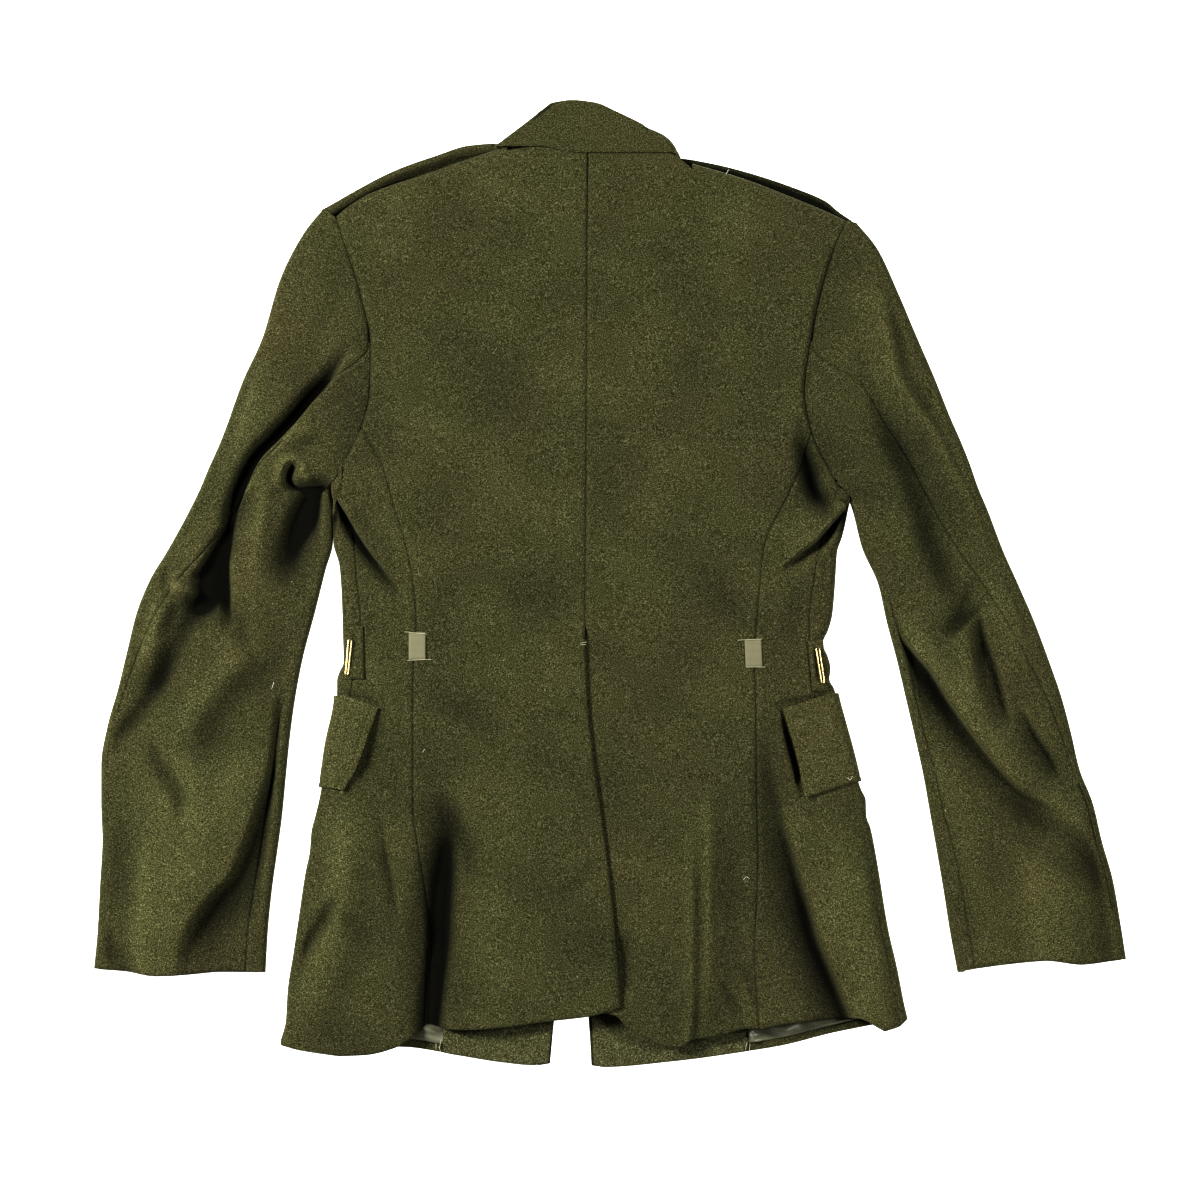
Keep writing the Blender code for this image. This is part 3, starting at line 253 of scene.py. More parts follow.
BODY_CREASES = [
    # left underarm: the back folds over the side
    Crease(8.5, 6, 1.2, 3.5, 0.6, -1, [(-236, 81, 0), (-230, 74.5, 0.5), (-224.5, 67.5, 1),
        (-217.5, 56, 1), (-209, 41.5, 1), (-199, 27.5, 0.85), (-189, 14, 0.6), (-180, 2, 0.35),
        (-169, -14, 0)]),
    trough(2.0, 9, [(-216.5, 66, 0), (-208.5, 53.5, 1), (-193, 32.5, 0.8), (-176.5, 7, 0.3),
        (-168, -14, 0)]),
    # right underarm: a hollow beside the sleeve, and a fold over the side
    trough(6.0, 6, [(162, 152.5, 0), (161.5, 133, 0.3), (162, 116.5, 0.65), (164.5, 99.5, 1),
        (169, 84.5, 1), (174.5, 72.5, 0.9), (181.5, 62.5, 0.5), (187.5, 54, 0)]),
    trough(4.6, 12, [(162, 124, 0), (164.5, 103.5, 0.6), (169.5, 85.5, 1), (176.5, 70, 1),
        (183, 60, 0.5), (190, 51.5, 0)]),
    Crease(8.5, 6, 1.5, 4.0, 1.0, 1, [(201.5, 70, 1), (191.5, 60, 1), (181.5, 48.5, 1), (172, 38, 0.9),
        (160.5, 29, 0.7), (150.5, 20.5, 0.4), (140.5, 13, 0)]),
    ridge(2.5, 9, [(178, 95.5, 0), (181.5, 78.5, 1), (176.5, 61.5, 0.6), (159.5, 45, 0.3), (143, 28, 0)]),
    trough(3.0, 8, [(191.5, 28, 0), (188, 11.5, 1), (186.5, -7, 0)]),
    # soft pulls to the waist
    trough(1.5, 18, [(-117.5, 19.5, 0), (-143, -14, 1), (-168, -30.5, 0.3)]),
    trough(1.6, 10, [(166.5, 7, 0), (159.5, -14, 1), (155.5, -39, 0.5), (151, -56, 0)]),
    trough(1.4, 14, [(75.5, 19.5, 0), (101, -14, 1), (117.5, -47.5, 0.3)]),
    trough(1.6, 9, [(-155.5, -93.5, 0), (-134.5, -102, 0.8), (-109, -116.5, 1), (-92.5, -135.5, 0.6),
        (-84, -165, 0)]),
    # beside the flaps
    trough(2.6, 7, [(-193, -99.5, 0), (-195, -123, 0.7), (-203.5, -152.5, 1), (-211.5, -172, 0.3),
        (-215, -182, 0)]),
    trough(2.5, 3, [(-228.5, -92, 0.6), (-216.5, -94.5, 1), (-205, -98, 1), (-193, -103, 0.5)]),
    trough(2.5, 3, [(143, -102, 0.6), (159.5, -98.5, 1), (176.5, -96, 1), (191.5, -92, 0.8)]),
    trough(6.0, 3.5, [(145.5, -103, 0), (148.5, -121.5, 0.6), (153.5, -141.5, 1), (158, -158.5, 1),
        (160.5, -172, 0.2)]),
    trough(2.0, 12, [(130, -106.5, 0), (136, -148.5, 1), (144.5, -182, 0.7)]),
    # skirt, left: a deep valley beside the rolled side
    trough(11.0, 9, [(-144.5, -156.5, 0.05), (-138.5, -186, 0.2), (-136, -207, 0.45), (-137, -228, 0.8),
        (-139.5, -257.5, 1), (-142, -299.5, 1), (-148, -337.5, 1), (-152, -373.5, 1)]),
    trough(5.0, 13, [(-151, -173.5, 0.1), (-148, -207, 0.6), (-150.5, -249, 1), (-154.5, -316.5, 1),
        (-157, -373.5, 1)]),
    Crease(5.0, 9, 2.0, 3.0, 2.0, 1, [(-156, -270, 0), (-156, -295.5, 0.8), (-158, -333, 1),
        (-159.5, -375, 1)]),
    trough(3.0, 8, [(-137, -173.5, 0), (-130, -194.5, 0.7), (-122.5, -214, 1), (-117, -230.5, 0.9),
        (-111, -252.5, 0)]),
    ridge(1.5, 22, [(-88, -165, 0), (-92.5, -224, 1), (-96.5, -308, 1), (-96.5, -366.5, 1)]),
    Crease(2.6, 6, 0.6, 3.5, 0, -1, [(-190, -182, 0), (-186.5, -211.5, 0.6), (-182.5, -234, 1),
        (-178, -257.5, 1), (-174, -287, 0.2), (-171.5, -308, 0)]),
    trough(5.0, 6, [(-224.5, -264, 0), (-232, -270, 0.6), (-240, -284.5, 1), (-250.5, -299.5, 1),
        (-258, -312, 0.9), (-264, -326.5, 0.6), (-268, -341.5, 0)]),
    trough(2.2, 6, [(-227, -276, 0), (-216.5, -284.5, 1), (-205, -296, 0.8), (-198, -306, 0)]),
    trough(1.2, 8, [(-3.5, -224, 0), (-17, -240.5, 1), (-33.5, -259, 1), (-48.5, -272.5, 0)]),
    # the back lies over its armhole seams
    trough(1.8, 2.0, beside(ARMHOLE_L[1:9] + [(-232, 84)], (0.4, 0.7, 1, 1.2, 1, 0.9, 0.9, 0.8, 0.4))),
    trough(1.8, 2.0, beside(ARMHOLE_R[1:9] + [(199, 75)], (0.4, 1, 1, 1, 1, 1, 0.9, 0.8, 0.4))),
    ridge(2.5, 16, [(-227, -182, 0), (-227, -224, 1), (-230, -266, 1), (-242, -308, 1),
        (-253.5, -341.5, 1), (-260.5, -375, 0.4)]),
    trough(2.0, 14, [(-200, -291, 0), (-211.5, -316.5, 1), (-222.5, -341.5, 1), (-228.5, -375, 0.6)]),
    # vent: the lap stands away near its foot
    trough(3.0, 6, [(6.5, -287, 0), (12, -312, 1), (12.5, -329, 1), (10, -352.5, 0.2)]),
    # skirt, right: upright soft folds
    ridge(2.0, 6, [(67, -182, 0), (68, -232.5, 0.6), (69, -282.5, 1), (69, -350, 1), (65.5, -383.5, 1)]),
    trough(2.0, 4, [(74, -224, 0), (75, -257.5, 0.8), (75, -308, 1), (74, -358.5, 1),
        (71.5, -383.5, 0.8)]),
    ridge(2.0, 6, [(82.5, -165, 0), (83, -207, 1), (83, -266, 1), (81.5, -324.5, 0.8), (79, -375, 0.3)]),
    trough(1.7, 12, [(97.5, -156.5, 0), (101, -215.5, 1), (102.5, -282.5, 1), (103.5, -350, 0.6)]),
    trough(1.8, 4, [(113.5, -316.5, 0), (117, -331.5, 1), (122, -350, 0.8), (126, -366.5, 0.2)]),
    trough(2.0, 4, [(94, -329, 0), (99, -343, 1), (106.5, -360, 0.9), (112.5, -375, 0.2)]),
    # skirt, right: the side rolls over beside a deep hollow
    Crease(6.4, 20, 2.6, 8.0, 0.0, -1, [(137, -135.5, 0), (143, -169.5, 0.35), (149.5, -200.5, 0.6),
        (157, -225.5, 0.8), (163, -249, 0.9), (170.5, -272.5, 1), (177, -295.5, 1), (185, -316.5, 1),
        (191.5, -333, 1), (199, -350, 1), (210, -373.5, 1)]),
    trough(2.2, 9, [(155.5, -232.5, 0), (162, -257.5, 0.8), (167, -282.5, 1), (172, -303.5, 1),
        (183, -329, 0.8), (195, -350, 0.6), (205, -366.5, 0.4)]),
    ridge(3.6, 17, [(185, -182, 0), (198, -232.5, 0.8), (208.5, -274.5, 1), (216.5, -316.5, 1),
        (225, -366.5, 1)]),
    ridge(2.0, 14, [(-216.5, -182, 0), (-218.5, -232.5, 1), (-222, -282.5, 0.8), (-235, -350, 0.5)]),
    # upper back: barely uneven
    trough(1.2, 26, [(-109, 305.5, 0), (-111, 238, 1), (-99, 171, 1), (-92.5, 112, 0)]),
    trough(1.0, 20, [(67, 288.5, 0), (75.5, 213, 1), (67, 129, 0)]),
]
FOLD_FULL = 1.35  # share of the tables' rises that the laid cloth takes
HANDS = {-1: "left", 1: "right"}


def smooth(t):
    t = np.clip(t, 0.0, 1.0)
    return t * t * (3 - 2 * t)


def ramp(value, start, full):
    return smooth((value - start) / (full - start))


def lerp(a, b, t):
    return a + (b - a) * t


def hermite(knots, values, at):
    """Values on a smooth line through these knots that never swings past them."""
    step = np.diff(knots)
    slope = np.diff(values) / step
    turn = slope[:-1] * slope[1:]
    total = slope[:-1] + slope[1:]
    even = np.where(turn > 0, 2 * turn / np.where(turn > 0, total, 1), 0)
    lean = np.concatenate([slope[:1], even, slope[-1:]])
    at = np.clip(at, knots[0], knots[-1])
    low = np.clip(np.searchsorted(knots, at, side="right") - 1, 0, len(step) - 1)
    t = (at - knots[low]) / step[low]
    rise = values[low + 1] - values[low]
    start, end = lean[low] * step[low], lean[low + 1] * step[low]
    bend = t * t * (3 * rise - 2 * start - end) + t ** 3 * (start + end - 2 * rise)
    return values[low] + t * start + bend


def outline(points, at, key=0):
    """The outline's y at this x (key 0), or its x at this y (key 1)."""
    points = np.array(sorted(points, key=lambda point: point[key]), float)
    return hermite(points[:, key], points[:, 1 - key], at)


def at_y(points, y):
    return outline(points, y, key=1)


def hand(side, left, right):
    return left if side < 0 else right


def side_at(x):
    return -1 if x < 0 else 1


PATH_STEP = 4.0
CREASE_REACH = 2.6  # a crease has died out this many times its width away


def winding(path):
    """A path's points, joined by a smooth line and set close together."""
    path = np.array(path, float)
    run = np.concatenate([[0], np.cumsum(np.hypot(*np.diff(path[:, :2], axis=0).T))])
    at = np.linspace(0, run[-1], max(int(run[-1] / PATH_STEP), 2) + 1)
    return np.stack([hermite(run, path[:, key], at) for key in range(path.shape[1])], axis=1)


def crease_lay(x, y, creases):
    """The rise and the sideways shift that these creases give the cloth at each place."""
    rise, shift_x, shift_y = np.zeros_like(x), np.zeros_like(x), np.zeros_like(x)
    for crease in creases:
        path = winding(crease.path)
        reach = CREASE_REACH * max(crease.wide, crease.edge) + crease.edge
        near = (x > path[:, 0].min() - reach) & (x < path[:, 0].max() + reach)
        near &= (y > path[:, 1].min() - reach) & (y < path[:, 1].max() + reach)
        if not near.any():
            continue
        here_x, here_y = x[near], y[near]
        best = np.full(here_x.shape, np.inf)
        turned, share = np.zeros_like(best), np.zeros_like(best)
        aside_x, aside_y = np.zeros_like(best), np.zeros_like(best)
        for a, b in zip(path, path[1:]):
            run_x, run_y = b[0] - a[0], b[1] - a[1]
            length = math.hypot(run_x, run_y)
            part = np.clip(((here_x - a[0]) * run_x + (here_y - a[1]) * run_y) / length ** 2, 0, 1)
            off_x, off_y = here_x - a[0] - run_x * part, here_y - a[1] - run_y * part
            far = off_x ** 2 + off_y ** 2
            nearer = far < best
            best[nearer] = far[nearer]
            turned[nearer] = np.sign(run_x * off_y - run_y * off_x)[nearer]
            share[nearer] = (a[2] + (b[2] - a[2]) * part)[nearer]
            aside_x[nearer] = -run_y / length * crease.into
            aside_y[nearer] = run_x / length * crease.into
        away = np.sqrt(best) * turned * crease.into
        if not crease.edge:
            rise[near] -= crease.depth * share * np.exp(-(away / crease.wide) ** 2)
            continue
        fallen = smooth(away / crease.edge)
        low = np.exp(-(np.maximum(away - crease.edge, 0) / crease.wide) ** 2)
        high = np.exp(-(np.minimum(away, 0) / crease.wide) ** 2)
        rise[near] += share * ((1 - fallen) * high * crease.lip - fallen * low * crease.depth)
        over = share * (1 - fallen) * high * crease.lean
        shift_x[near] += over * aside_x
        shift_y[near] += over * aside_y
    return rise * FOLD_FULL, shift_x, shift_y


WAVES = np.random.default_rng(7)
WAVE_COUNT = 14
WAVE_LENGTHS = (45.0, 150.0)
WAVE_RISE = 0.24
wave_turn = WAVES.uniform(0, math.pi, WAVE_COUNT)
wave_pitch = 2 * math.pi / WAVES.uniform(*WAVE_LENGTHS, WAVE_COUNT)
wave_start = WAVES.uniform(0, 2 * math.pi, WAVE_COUNT)


def uneven(x, y):
    """Slight waves, as in any cloth that has been laid down."""
    return WAVE_RISE * sum(np.sin(pitch * (x * math.cos(turn) + y * math.sin(turn)) + start)
                           for turn, pitch, start in zip(wave_turn, wave_pitch, wave_start))


def edge_x(side, y):
    return at_y(hand(side, EDGE_L, EDGE_R), y)


def under_middle(side, x, y):
    """Middle of the under ply, with what lies below it."""
    chest = CHEST_LIFT * ramp(y, *CHEST_LINE)
    low, high = BUTTON_STRIP
    strip = ramp(x, low - EASE, low) * (1 - ramp(x, high, high + EASE))
    strip = strip * ramp(y, BUTTON_SPAN[0] - EASE, BUTTON_SPAN[0])
    strip = strip * (1 - ramp(y, BUTTON_SPAN[1], BUTTON_SPAN[1] + EASE))
    inward = (edge_x(side, y) - x) * side
    flap = 1 - ramp(inward, FLAP_REACH + FLAP_CLEAR, FLAP_REACH + EASE)
    flap = flap * (1 - ramp(y, FLAP_SPAN[1], FLAP_SPAN[0])) * ramp(y, FLAP_SPAN[3], FLAP_SPAN[2])
    height = ON_TABLE + np.maximum(chest, BUTTON_LIFT * strip) + PLY * flap
    if side > 0:
        lap = at_y(FRONT_EDGE_L, y)
        over = 1 - ramp(x, lap + LAP_EDGE, lap + EASE)
        height = height + LAP_LIFT * over * ramp(y, *LAP_SPAN[:2]) * (1 - ramp(y, *LAP_SPAN[2:]))
    return height


def shoulder_y(side, x):
    return outline(hand(side, SHOULDER_L, SHOULDER_R), x)


def settle(height, floor):
    """Keeps a fold above the ply below it, without a sharp stop."""
    room = height - floor
    held = np.log1p(np.exp(np.minimum(room, SETTLE_ROOM)))
    return floor + np.where(room > SETTLE_ROOM, room, held)


def body_lay(side, x, y):
    """Middle height of the top ply and its sideways shift, with its creases."""
    shoulder = np.maximum(shoulder_y(side, x) - y, 0)
    inward = np.maximum((edge_x(side, y) - x) * side - SIDE_SOFT, 0)
    low = 1 - ramp(y, *ARM_BAND)
    inset = lerp(shoulder, np.minimum(shoulder, inward), low)
    height = EDGE_HEIGHT + (CHEST_HEIGHT - EDGE_HEIGHT) * (1 - np.exp(-inset / EDGE_RISE))
    rise, shift_x, shift_y = crease_lay(x, y, BODY_CREASES)
    grow = lerp(1, ramp(inward, *SIDE_BAND), 1 - ramp(y, *WAIST_BAND)) * ramp(shoulder, 0, SHOULDER_BAND)
    # The folds' rise, waves included, also sets the painted light and shade of the colour.
    fold = (rise + uneven(x, y)) * grow
    height = height + fold
    if side < 0:
        lap = at_y(UNDERLAP_EDGE, y)
        near_lap = ramp(x, lap - VENT_EASE[0], lap - VENT_EASE[1])
        height = height + VENT_LIFT * near_lap * ramp(VENT_TOP - y, *VENT_START)
    inside = 1 - ramp(y, *INSIDE_BAND)
    floor = under_middle(side, x, y) + CLOTH + AIR + PLY * inside
    return settle(height, floor), shift_x * grow, shift_y * grow, fold


def seam_roll(distance):
    """The cloth dips into a seam or over a hem, and swells beside it over the allowance."""
    dip = -ROLL * np.exp(-(distance / ROLL_REACH) ** 2)
    return dip + PUFF * np.exp(-((distance - PUFF_REACH[0]) / PUFF_REACH[1]) ** 2)


def spread(count, length, start=SEAM_CELLS, end=SEAM_CELLS):
    """Distances of the lines 0 to count along this length, closer together at its ends."""
    def at(line):
        part = (line - len(start) + 1) / (count - len(start) - len(end) + 2)
        inside = lerp(start[-1], length - end[-1], part)
        first = np.array(start)[np.clip(line, 0, len(start) - 1)]
        last = length - np.array(end)[np.clip(count - line, 0, len(end) - 1)]
        return np.where(line < len(start), first, np.where(count - line < len(end), last, inside))
    return at


UP = (0.0, 0.0, 1.0)
DOWN = (0.0, 0.0, -1.0)


def stack(x, y, z):
    return np.stack(np.broadcast_arrays(x, y, z), axis=-1).astype(float)


def facing(direction, like):
    return np.tile(np.array(direction, float), (len(like), 1))


def drape(side, x, y, dip):
    """Outer face of the top ply at these places, with this dip, and the rise of its folds."""
    height, shift_x, shift_y, fold = body_lay(side, x, y)
    # painted shade along the seam's dip
    fold = fold + SEAM_PAINTED_SHADE * np.minimum(dip, 0)
    return stack(x + shift_x, y + shift_y, height + CLOTH / 2 + dip), facing(UP, x), fold


SHARP = math.radians(60)


def cloth(name, columns, rows, place, finish, thickness=CLOTH, keep=None):
    """A cloth wall. place(column, row) gives its outer face's points and outward directions.

    It may also give the rise of the folds, which the wool takes as painted light and shade: its colour is
    lighter on ridges and darker in hollows and seams.
    """
    bm = bmesh.new()
    bmesh.ops.create_grid(bm, x_segments=columns, y_segments=rows, size=1)
    if keep:
        cut = [face for face in bm.faces
               if not keep((face.verts[0].co.x + face.verts[2].co.x + 2) / 4 * columns,
                           (2 - face.verts[0].co.y - face.verts[2].co.y) / 4 * rows)]
        bmesh.ops.delete(bm, geom=cut, context="FACES")
    mesh = bpy.data.meshes.new(name)
    bm.to_mesh(mesh)
    bm.free()
    grid = np.empty(len(mesh.vertices) * 3)
    mesh.vertices.foreach_get("co", grid)
    column = np.rint((grid[0::3] + 1) / 2 * columns).astype(int)
    row = np.rint((1 - grid[1::3]) / 2 * rows).astype(int)
    points, outward, *fold = place(column, row)
    # The folds' rise is stored for the painted light and shade in the wool's colour.
    if fold:
        painted_shade = mesh.attributes.new("fold", "FLOAT", "POINT")
        painted_shade.data.foreach_set("value", np.asarray(fold[0], np.float32))
    cut_size(points, column, row)
    mesh.vertices.foreach_set("co", (points * MM).ravel())
    mesh.update()
    normals = np.empty(len(mesh.vertices) * 3)
    mesh.vertices.foreach_get("normal", normals)
    if (normals.reshape(-1, 3) * outward).sum() < 0:
        mesh.flip_normals()
    mesh.materials.append(finish)
    mesh.shade_smooth()
    mesh.set_sharp_from_angle(angle=SHARP)
    used = np.empty(len(mesh.loops), int)
    mesh.loops.foreach_get("edge_index", used)
    for number in np.flatnonzero(np.bincount(used, minlength=len(mesh.edges)) == 1):
        mesh.edges[int(number)].use_edge_sharp = True
    made = put_in_scene(name, mesh)
    wall = made.modifiers.new("wall", "SOLIDIFY")
    wall.thickness = thickness * MM
    wall.offset = -1
    wall.use_rim = True
    return made


def cut_size(points, column, row):
    """Width, length and area of the flat cut: the lengths of its longest lines, in metres."""
    grid = np.full((row.max() + 1, column.max() + 1, 3), np.nan)
    grid[row, column] = points * MM
    across, down = np.diff(grid, axis=1), np.diff(grid, axis=0)
    wide = np.nansum(np.linalg.norm(across, axis=2), axis=1).max()
    tall = np.nansum(np.linalg.norm(down, axis=2), axis=0).max()
    area = np.nansum(np.linalg.norm(np.cross(across[:-1], down[:, :-1]), axis=2))
    return (float(wide), float(tall)), float(area)


def fastened(piece, node):
    """Fixes a piece to the part and hides the node that it stands in for."""
    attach(piece, "root")
    if node:
        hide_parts(node)


def sewn(piece, node):
    """Fixes a cloth piece to the part."""
    fastened(piece, node)


FIBRE_NOISE = (1000, 2, 0.9)  # scale, detail and roughness of the fibres
CLOUD_NOISE = (8, 3, 0.6)  # and of the uneven ground
CAST_FROM = (0.42, 0.68, 0.75)  # part of the ground's noise that shows the cast, and how much
SHADE_FROM = (0.50, 0.35)
FLECK_FROM = (0.53, 0.70)
MIX_A, MIX_B, MIX_RESULT = 6, 7, 2  # sockets of a node that mixes colours


def melange_group():
    """Wool spun from fibres of several dyes: fine light and dark flecks on uneven ground."""
    group = bpy.data.node_groups.new("melange", "ShaderNodeTree")
    for name in ("Shade", "Ground", "Fleck", "Cast"):
        group.interface.new_socket(name, in_out="INPUT", socket_type="NodeSocketColor")
    group.interface.new_socket("Color", in_out="OUTPUT", socket_type="NodeSocketColor")
    group.interface.new_socket("Height", in_out="OUTPUT", socket_type="NodeSocketFloat")
    given = group.nodes.new("NodeGroupInput").outputs
    place = add_node(group, "TexCoord", {}).outputs["Object"]

    def noise(scale, detail, roughness):
        return add_node(group, "TexNoise", {"Vector": place, "Scale": scale, "Detail": detail,
                                            "Roughness": roughness}).outputs["Fac"]

    def stretch(value, low, high, top=1.0):
        return add_node(group, "MapRange", {"Value": value, "From Min": low, "From Max": high,
                                            "To Max": top}).outputs["Result"]

    fibre = noise(*FIBRE_NOISE)
    ground = mixed(group, stretch(noise(*CLOUD_NOISE), *CAST_FROM), given["Ground"], given["Cast"])
    shaded = mixed(group, stretch(fibre, *SHADE_FROM), ground, given["Shade"])
    colour = mixed(group, stretch(fibre, *FLECK_FROM), shaded, given["Fleck"])
    set_sockets(group, group.nodes.new("NodeGroupOutput"), {"Color": colour, "Height": fibre})
    return group


def mixed(tree, share, a, b):
    """A colour between a and b."""
    mix = add_node(tree, "Mix", {"Factor": share, MIX_A: a, MIX_B: b}, data_type="RGBA")
    return mix.outputs[MIX_RESULT]


MELANGE = melange_group()
PAINTED_SHADE_FOLD = (-11.0, 4.5)  # rise of a fold, from hollow to ridge, for the painted light and shade
PAINTED_SHADE_SHARE = (0.06, 1.3)  # painted light and shade: share of the colour kept there, dark in hollows and light on ridges


def wool(name, shade, ground, fleck, cast):
    made, tree, shader = new_material(name)
    melange = add_node(tree, "Group", {"Shade": (*shade, 1), "Ground": (*ground, 1), "Fleck": (*fleck, 1),
                                       "Cast": (*cast, 1)}, node_tree=MELANGE).outputs
    bump = add_node(tree, "Bump", {"Height": melange["Height"], "Strength": 0.5, "Distance": 0.0005})
    # Painted light and shade: the folds' rise darkens the colour in hollows and seams and lightens it on
    # ridges.
    fold = add_node(tree, "Attribute", {}, attribute_name="fold")
    painted_shade = add_node(tree, "MapRange", {"Value": fold.outputs["Fac"],
                                      "From Min": PAINTED_SHADE_FOLD[0], "From Max": PAINTED_SHADE_FOLD[1],
                                      "To Min": PAINTED_SHADE_SHARE[0], "To Max": PAINTED_SHADE_SHARE[1]})
    tone = add_node(tree, "HueSaturation", {"Color": melange["Color"], "Value": painted_shade.outputs["Result"]})
    set_sockets(tree, shader, {"Base Color": tone.outputs["Color"], "Normal": bump.outputs["Normal"],
                               "Roughness": 0.95, "Specular IOR Level": 0.15, "Sheen Weight": 0.3,
                               "Sheen Roughness": 0.4, "Sheen Tint": (0.75, 0.75, 0.45, 1)})
    return made


SERGE = wool("wool_serge", (0.011, 0.011, 0.0036), (0.050, 0.0500, 0.0188), (0.19, 0.19, 0.115),
             (0.060, 0.053, 0.021))

NECK_TURN = 4.0  # the neck's cloth ends this far below the neck line
HEM_Y = -360.0  # where the backs' width at the hem is taken
SHOULDER_LOW = ON_TABLE + CHEST_LIFT
SHOULDER_CELLS = 8
BACK_COLUMNS = 98
BACK_ROWS = 360


def armhole(side):
    return hand(side, ARMHOLE_L, ARMHOLE_R)


def back_span(side, y):
    """x of a back panel's inner and outer edges at this y."""
    lap = at_y(hand(side, VENT_EDGE, UNDERLAP_EDGE), y)
    centre = np.where(y > VENT_TOP, at_y(CENTRE, y), lap)
    seam = hand(side, BACK_SEAM_L, BACK_SEAM_R)
    return centre, np.where(y > seam[0][1], at_y(armhole(side), y), at_y(seam, y))


def round_shoulder(side, part, angle):
    """The round shoulder edge, this part of the way out from the centre: middle and direction."""
    tip_y = armhole(side)[0][1]
    line = hand(side, SHOULDER_L, SHOULDER_R)
    slope = (line[-1][1] - line[0][1]) / (line[-1][0] - line[0][0])
    outward = np.array([-slope, 1, 0]) / math.hypot(slope, 1)
    radius = (EDGE_HEIGHT - SHOULDER_LOW) / 2
    turn = np.radians(angle)
    out = outward * np.cos(turn)[:, None] + np.array(UP) * np.sin(turn)[:, None]
    inner, outer = back_span(side, np.full(part.shape, float(tip_y)))
    x = lerp(inner, outer, part)
    spot = stack(x, shoulder_y(side, x), SHOULDER_LOW + radius) + out * radius
    spot -= outward * (radius + CLOTH / 2)
    inner, outer = back_span(side, spot[:, 1])
    spot[:, 0] = lerp(inner, outer, part)
    return spot, out


def neck_share(side):
    tip_y = np.array([float(armhole(side)[0][1])])
    inner, outer = back_span(side, tip_y)
    neck = NECK_LINE[0][0] if side < 0 else NECK_LINE[-1][0]
    return float((neck - inner[0]) / (outer[0] - inner[0]))


def shoulder_seam(side):
    """Both ends of the straight seam below the shoulder edge: at the armhole and at the neck."""
    below = np.array([-90.0])
    tip = round_shoulder(side, np.array([1.0]), below)[0][0]
    return tip, round_shoulder(side, np.array([neck_share(side)]), below)[0][0]


def make_back(side):
    tip_y = float(armhole(side)[0][1])
    hem = hand(side, HEM_BACK_L, HEM_BACK_R)
    split = neck_share(side)
    at_neck = round(split * BACK_COLUMNS)
    tip, neck = shoulder_seam(side)

    def place(column, row):
        down = row - SHOULDER_CELLS
        inner, outer = back_span(side, np.full(column.shape, tip_y))
        part = spread(BACK_COLUMNS, abs(outer - inner))(column) / abs(outer - inner)
        x = lerp(inner, outer, part)
        over, _ = round_shoulder(side, part, np.full(part.shape, 90.0))
        top = np.where(column < at_neck, outline(NECK_LINE, x) - NECK_TURN, over[:, 1])
        inner, outer = back_span(side, np.full(column.shape, HEM_Y))
        foot = outline(hem, lerp(inner, outer, part))
        y = top - spread(BACK_ROWS, top - foot, start=(0, 2))(np.maximum(down, 0))
        inner, outer = back_span(side, y)
        wide = abs(outer - inner)
        across = spread(BACK_COLUMNS, wide)(column)
        x = lerp(inner, outer, across / wide)
        roll = seam_roll(across) + seam_roll(wide - across) + seam_roll(y - foot)
        points, out, fold = drape(side, x, y, roll)
        arc = (down < 0) & (column >= at_neck)
        angle = -90 + 180 * row / SHOULDER_CELLS
        spot, round_out = round_shoulder(side, part, angle)
        low, _ = round_shoulder(side, part, np.full(part.shape, -90.0))
        seam = lerp(tip, neck, ((1 - part) / (1 - split))[:, None])
        spot += (seam - low) * (np.maximum(-angle, 0) / 90)[:, None]
        points[arc] = (spot + round_out * CLOTH / 2)[arc]
        out[arc] = round_out[arc]
        return points, out, fold

    def keep(column, row):
        return row > SHOULDER_CELLS or column > at_neck

    return cloth(f"back_{HANDS[side]}_panel", BACK_COLUMNS, SHOULDER_CELLS + BACK_ROWS, place, SERGE,
                 keep=keep)


for side in HANDS:
    sewn(make_back(side), f"back_{HANDS[side]}")

# ==== side bodies ============================================================================
# One panel of the same serge below each arm, sewn to the back and to the front from the armhole
# down to the hem.
SIDE_TOP_L = (131.0, 105.0)  # y on the armhole of its back seam and its front seam
SIDE_TOP_R = (127.0, 96.0)
FRONT_SEAM_L = [
    (-221, 105), (-218, 70), (-215, 41), (-212, 3), (-209, -31), (-211, -60), (-217, -89), (-219, -110),
    (-222, -136), (-223, -187), (-224, -266), (-225, -308), (-227, -396),
]
FRONT_SEAM_R = [
    (184, 96), (187, 70), (177, 37), (171, 3), (167, -31), (168, -60), (171, -89), (173, -100),
    (181, -136), (193, -175), (202, -224), (210, -266), (218, -308), (230, -376),
]
HEM_SIDE_L = [(-227, -396), (-205, -395), (-181, -389), (-162, -376), (-151, -366)]
HEM_SIDE_R = [(126, -373), (154, -368), (207, -364), (230, -375)]
SEAM_SHOWS = (-112.0, -86.0, 40.0, 56.0)  # y between which the front side seam isn't pressed flat
ARM_BOW = 8  # power with which the armhole's bow dies out down the panel
SIDE_COLUMNS = 50
SIDE_ROWS = 240


def seam_shows(y):
    return ramp(y, *SEAM_SHOWS[:2]) * (1 - ramp(y, *SEAM_SHOWS[2:]))


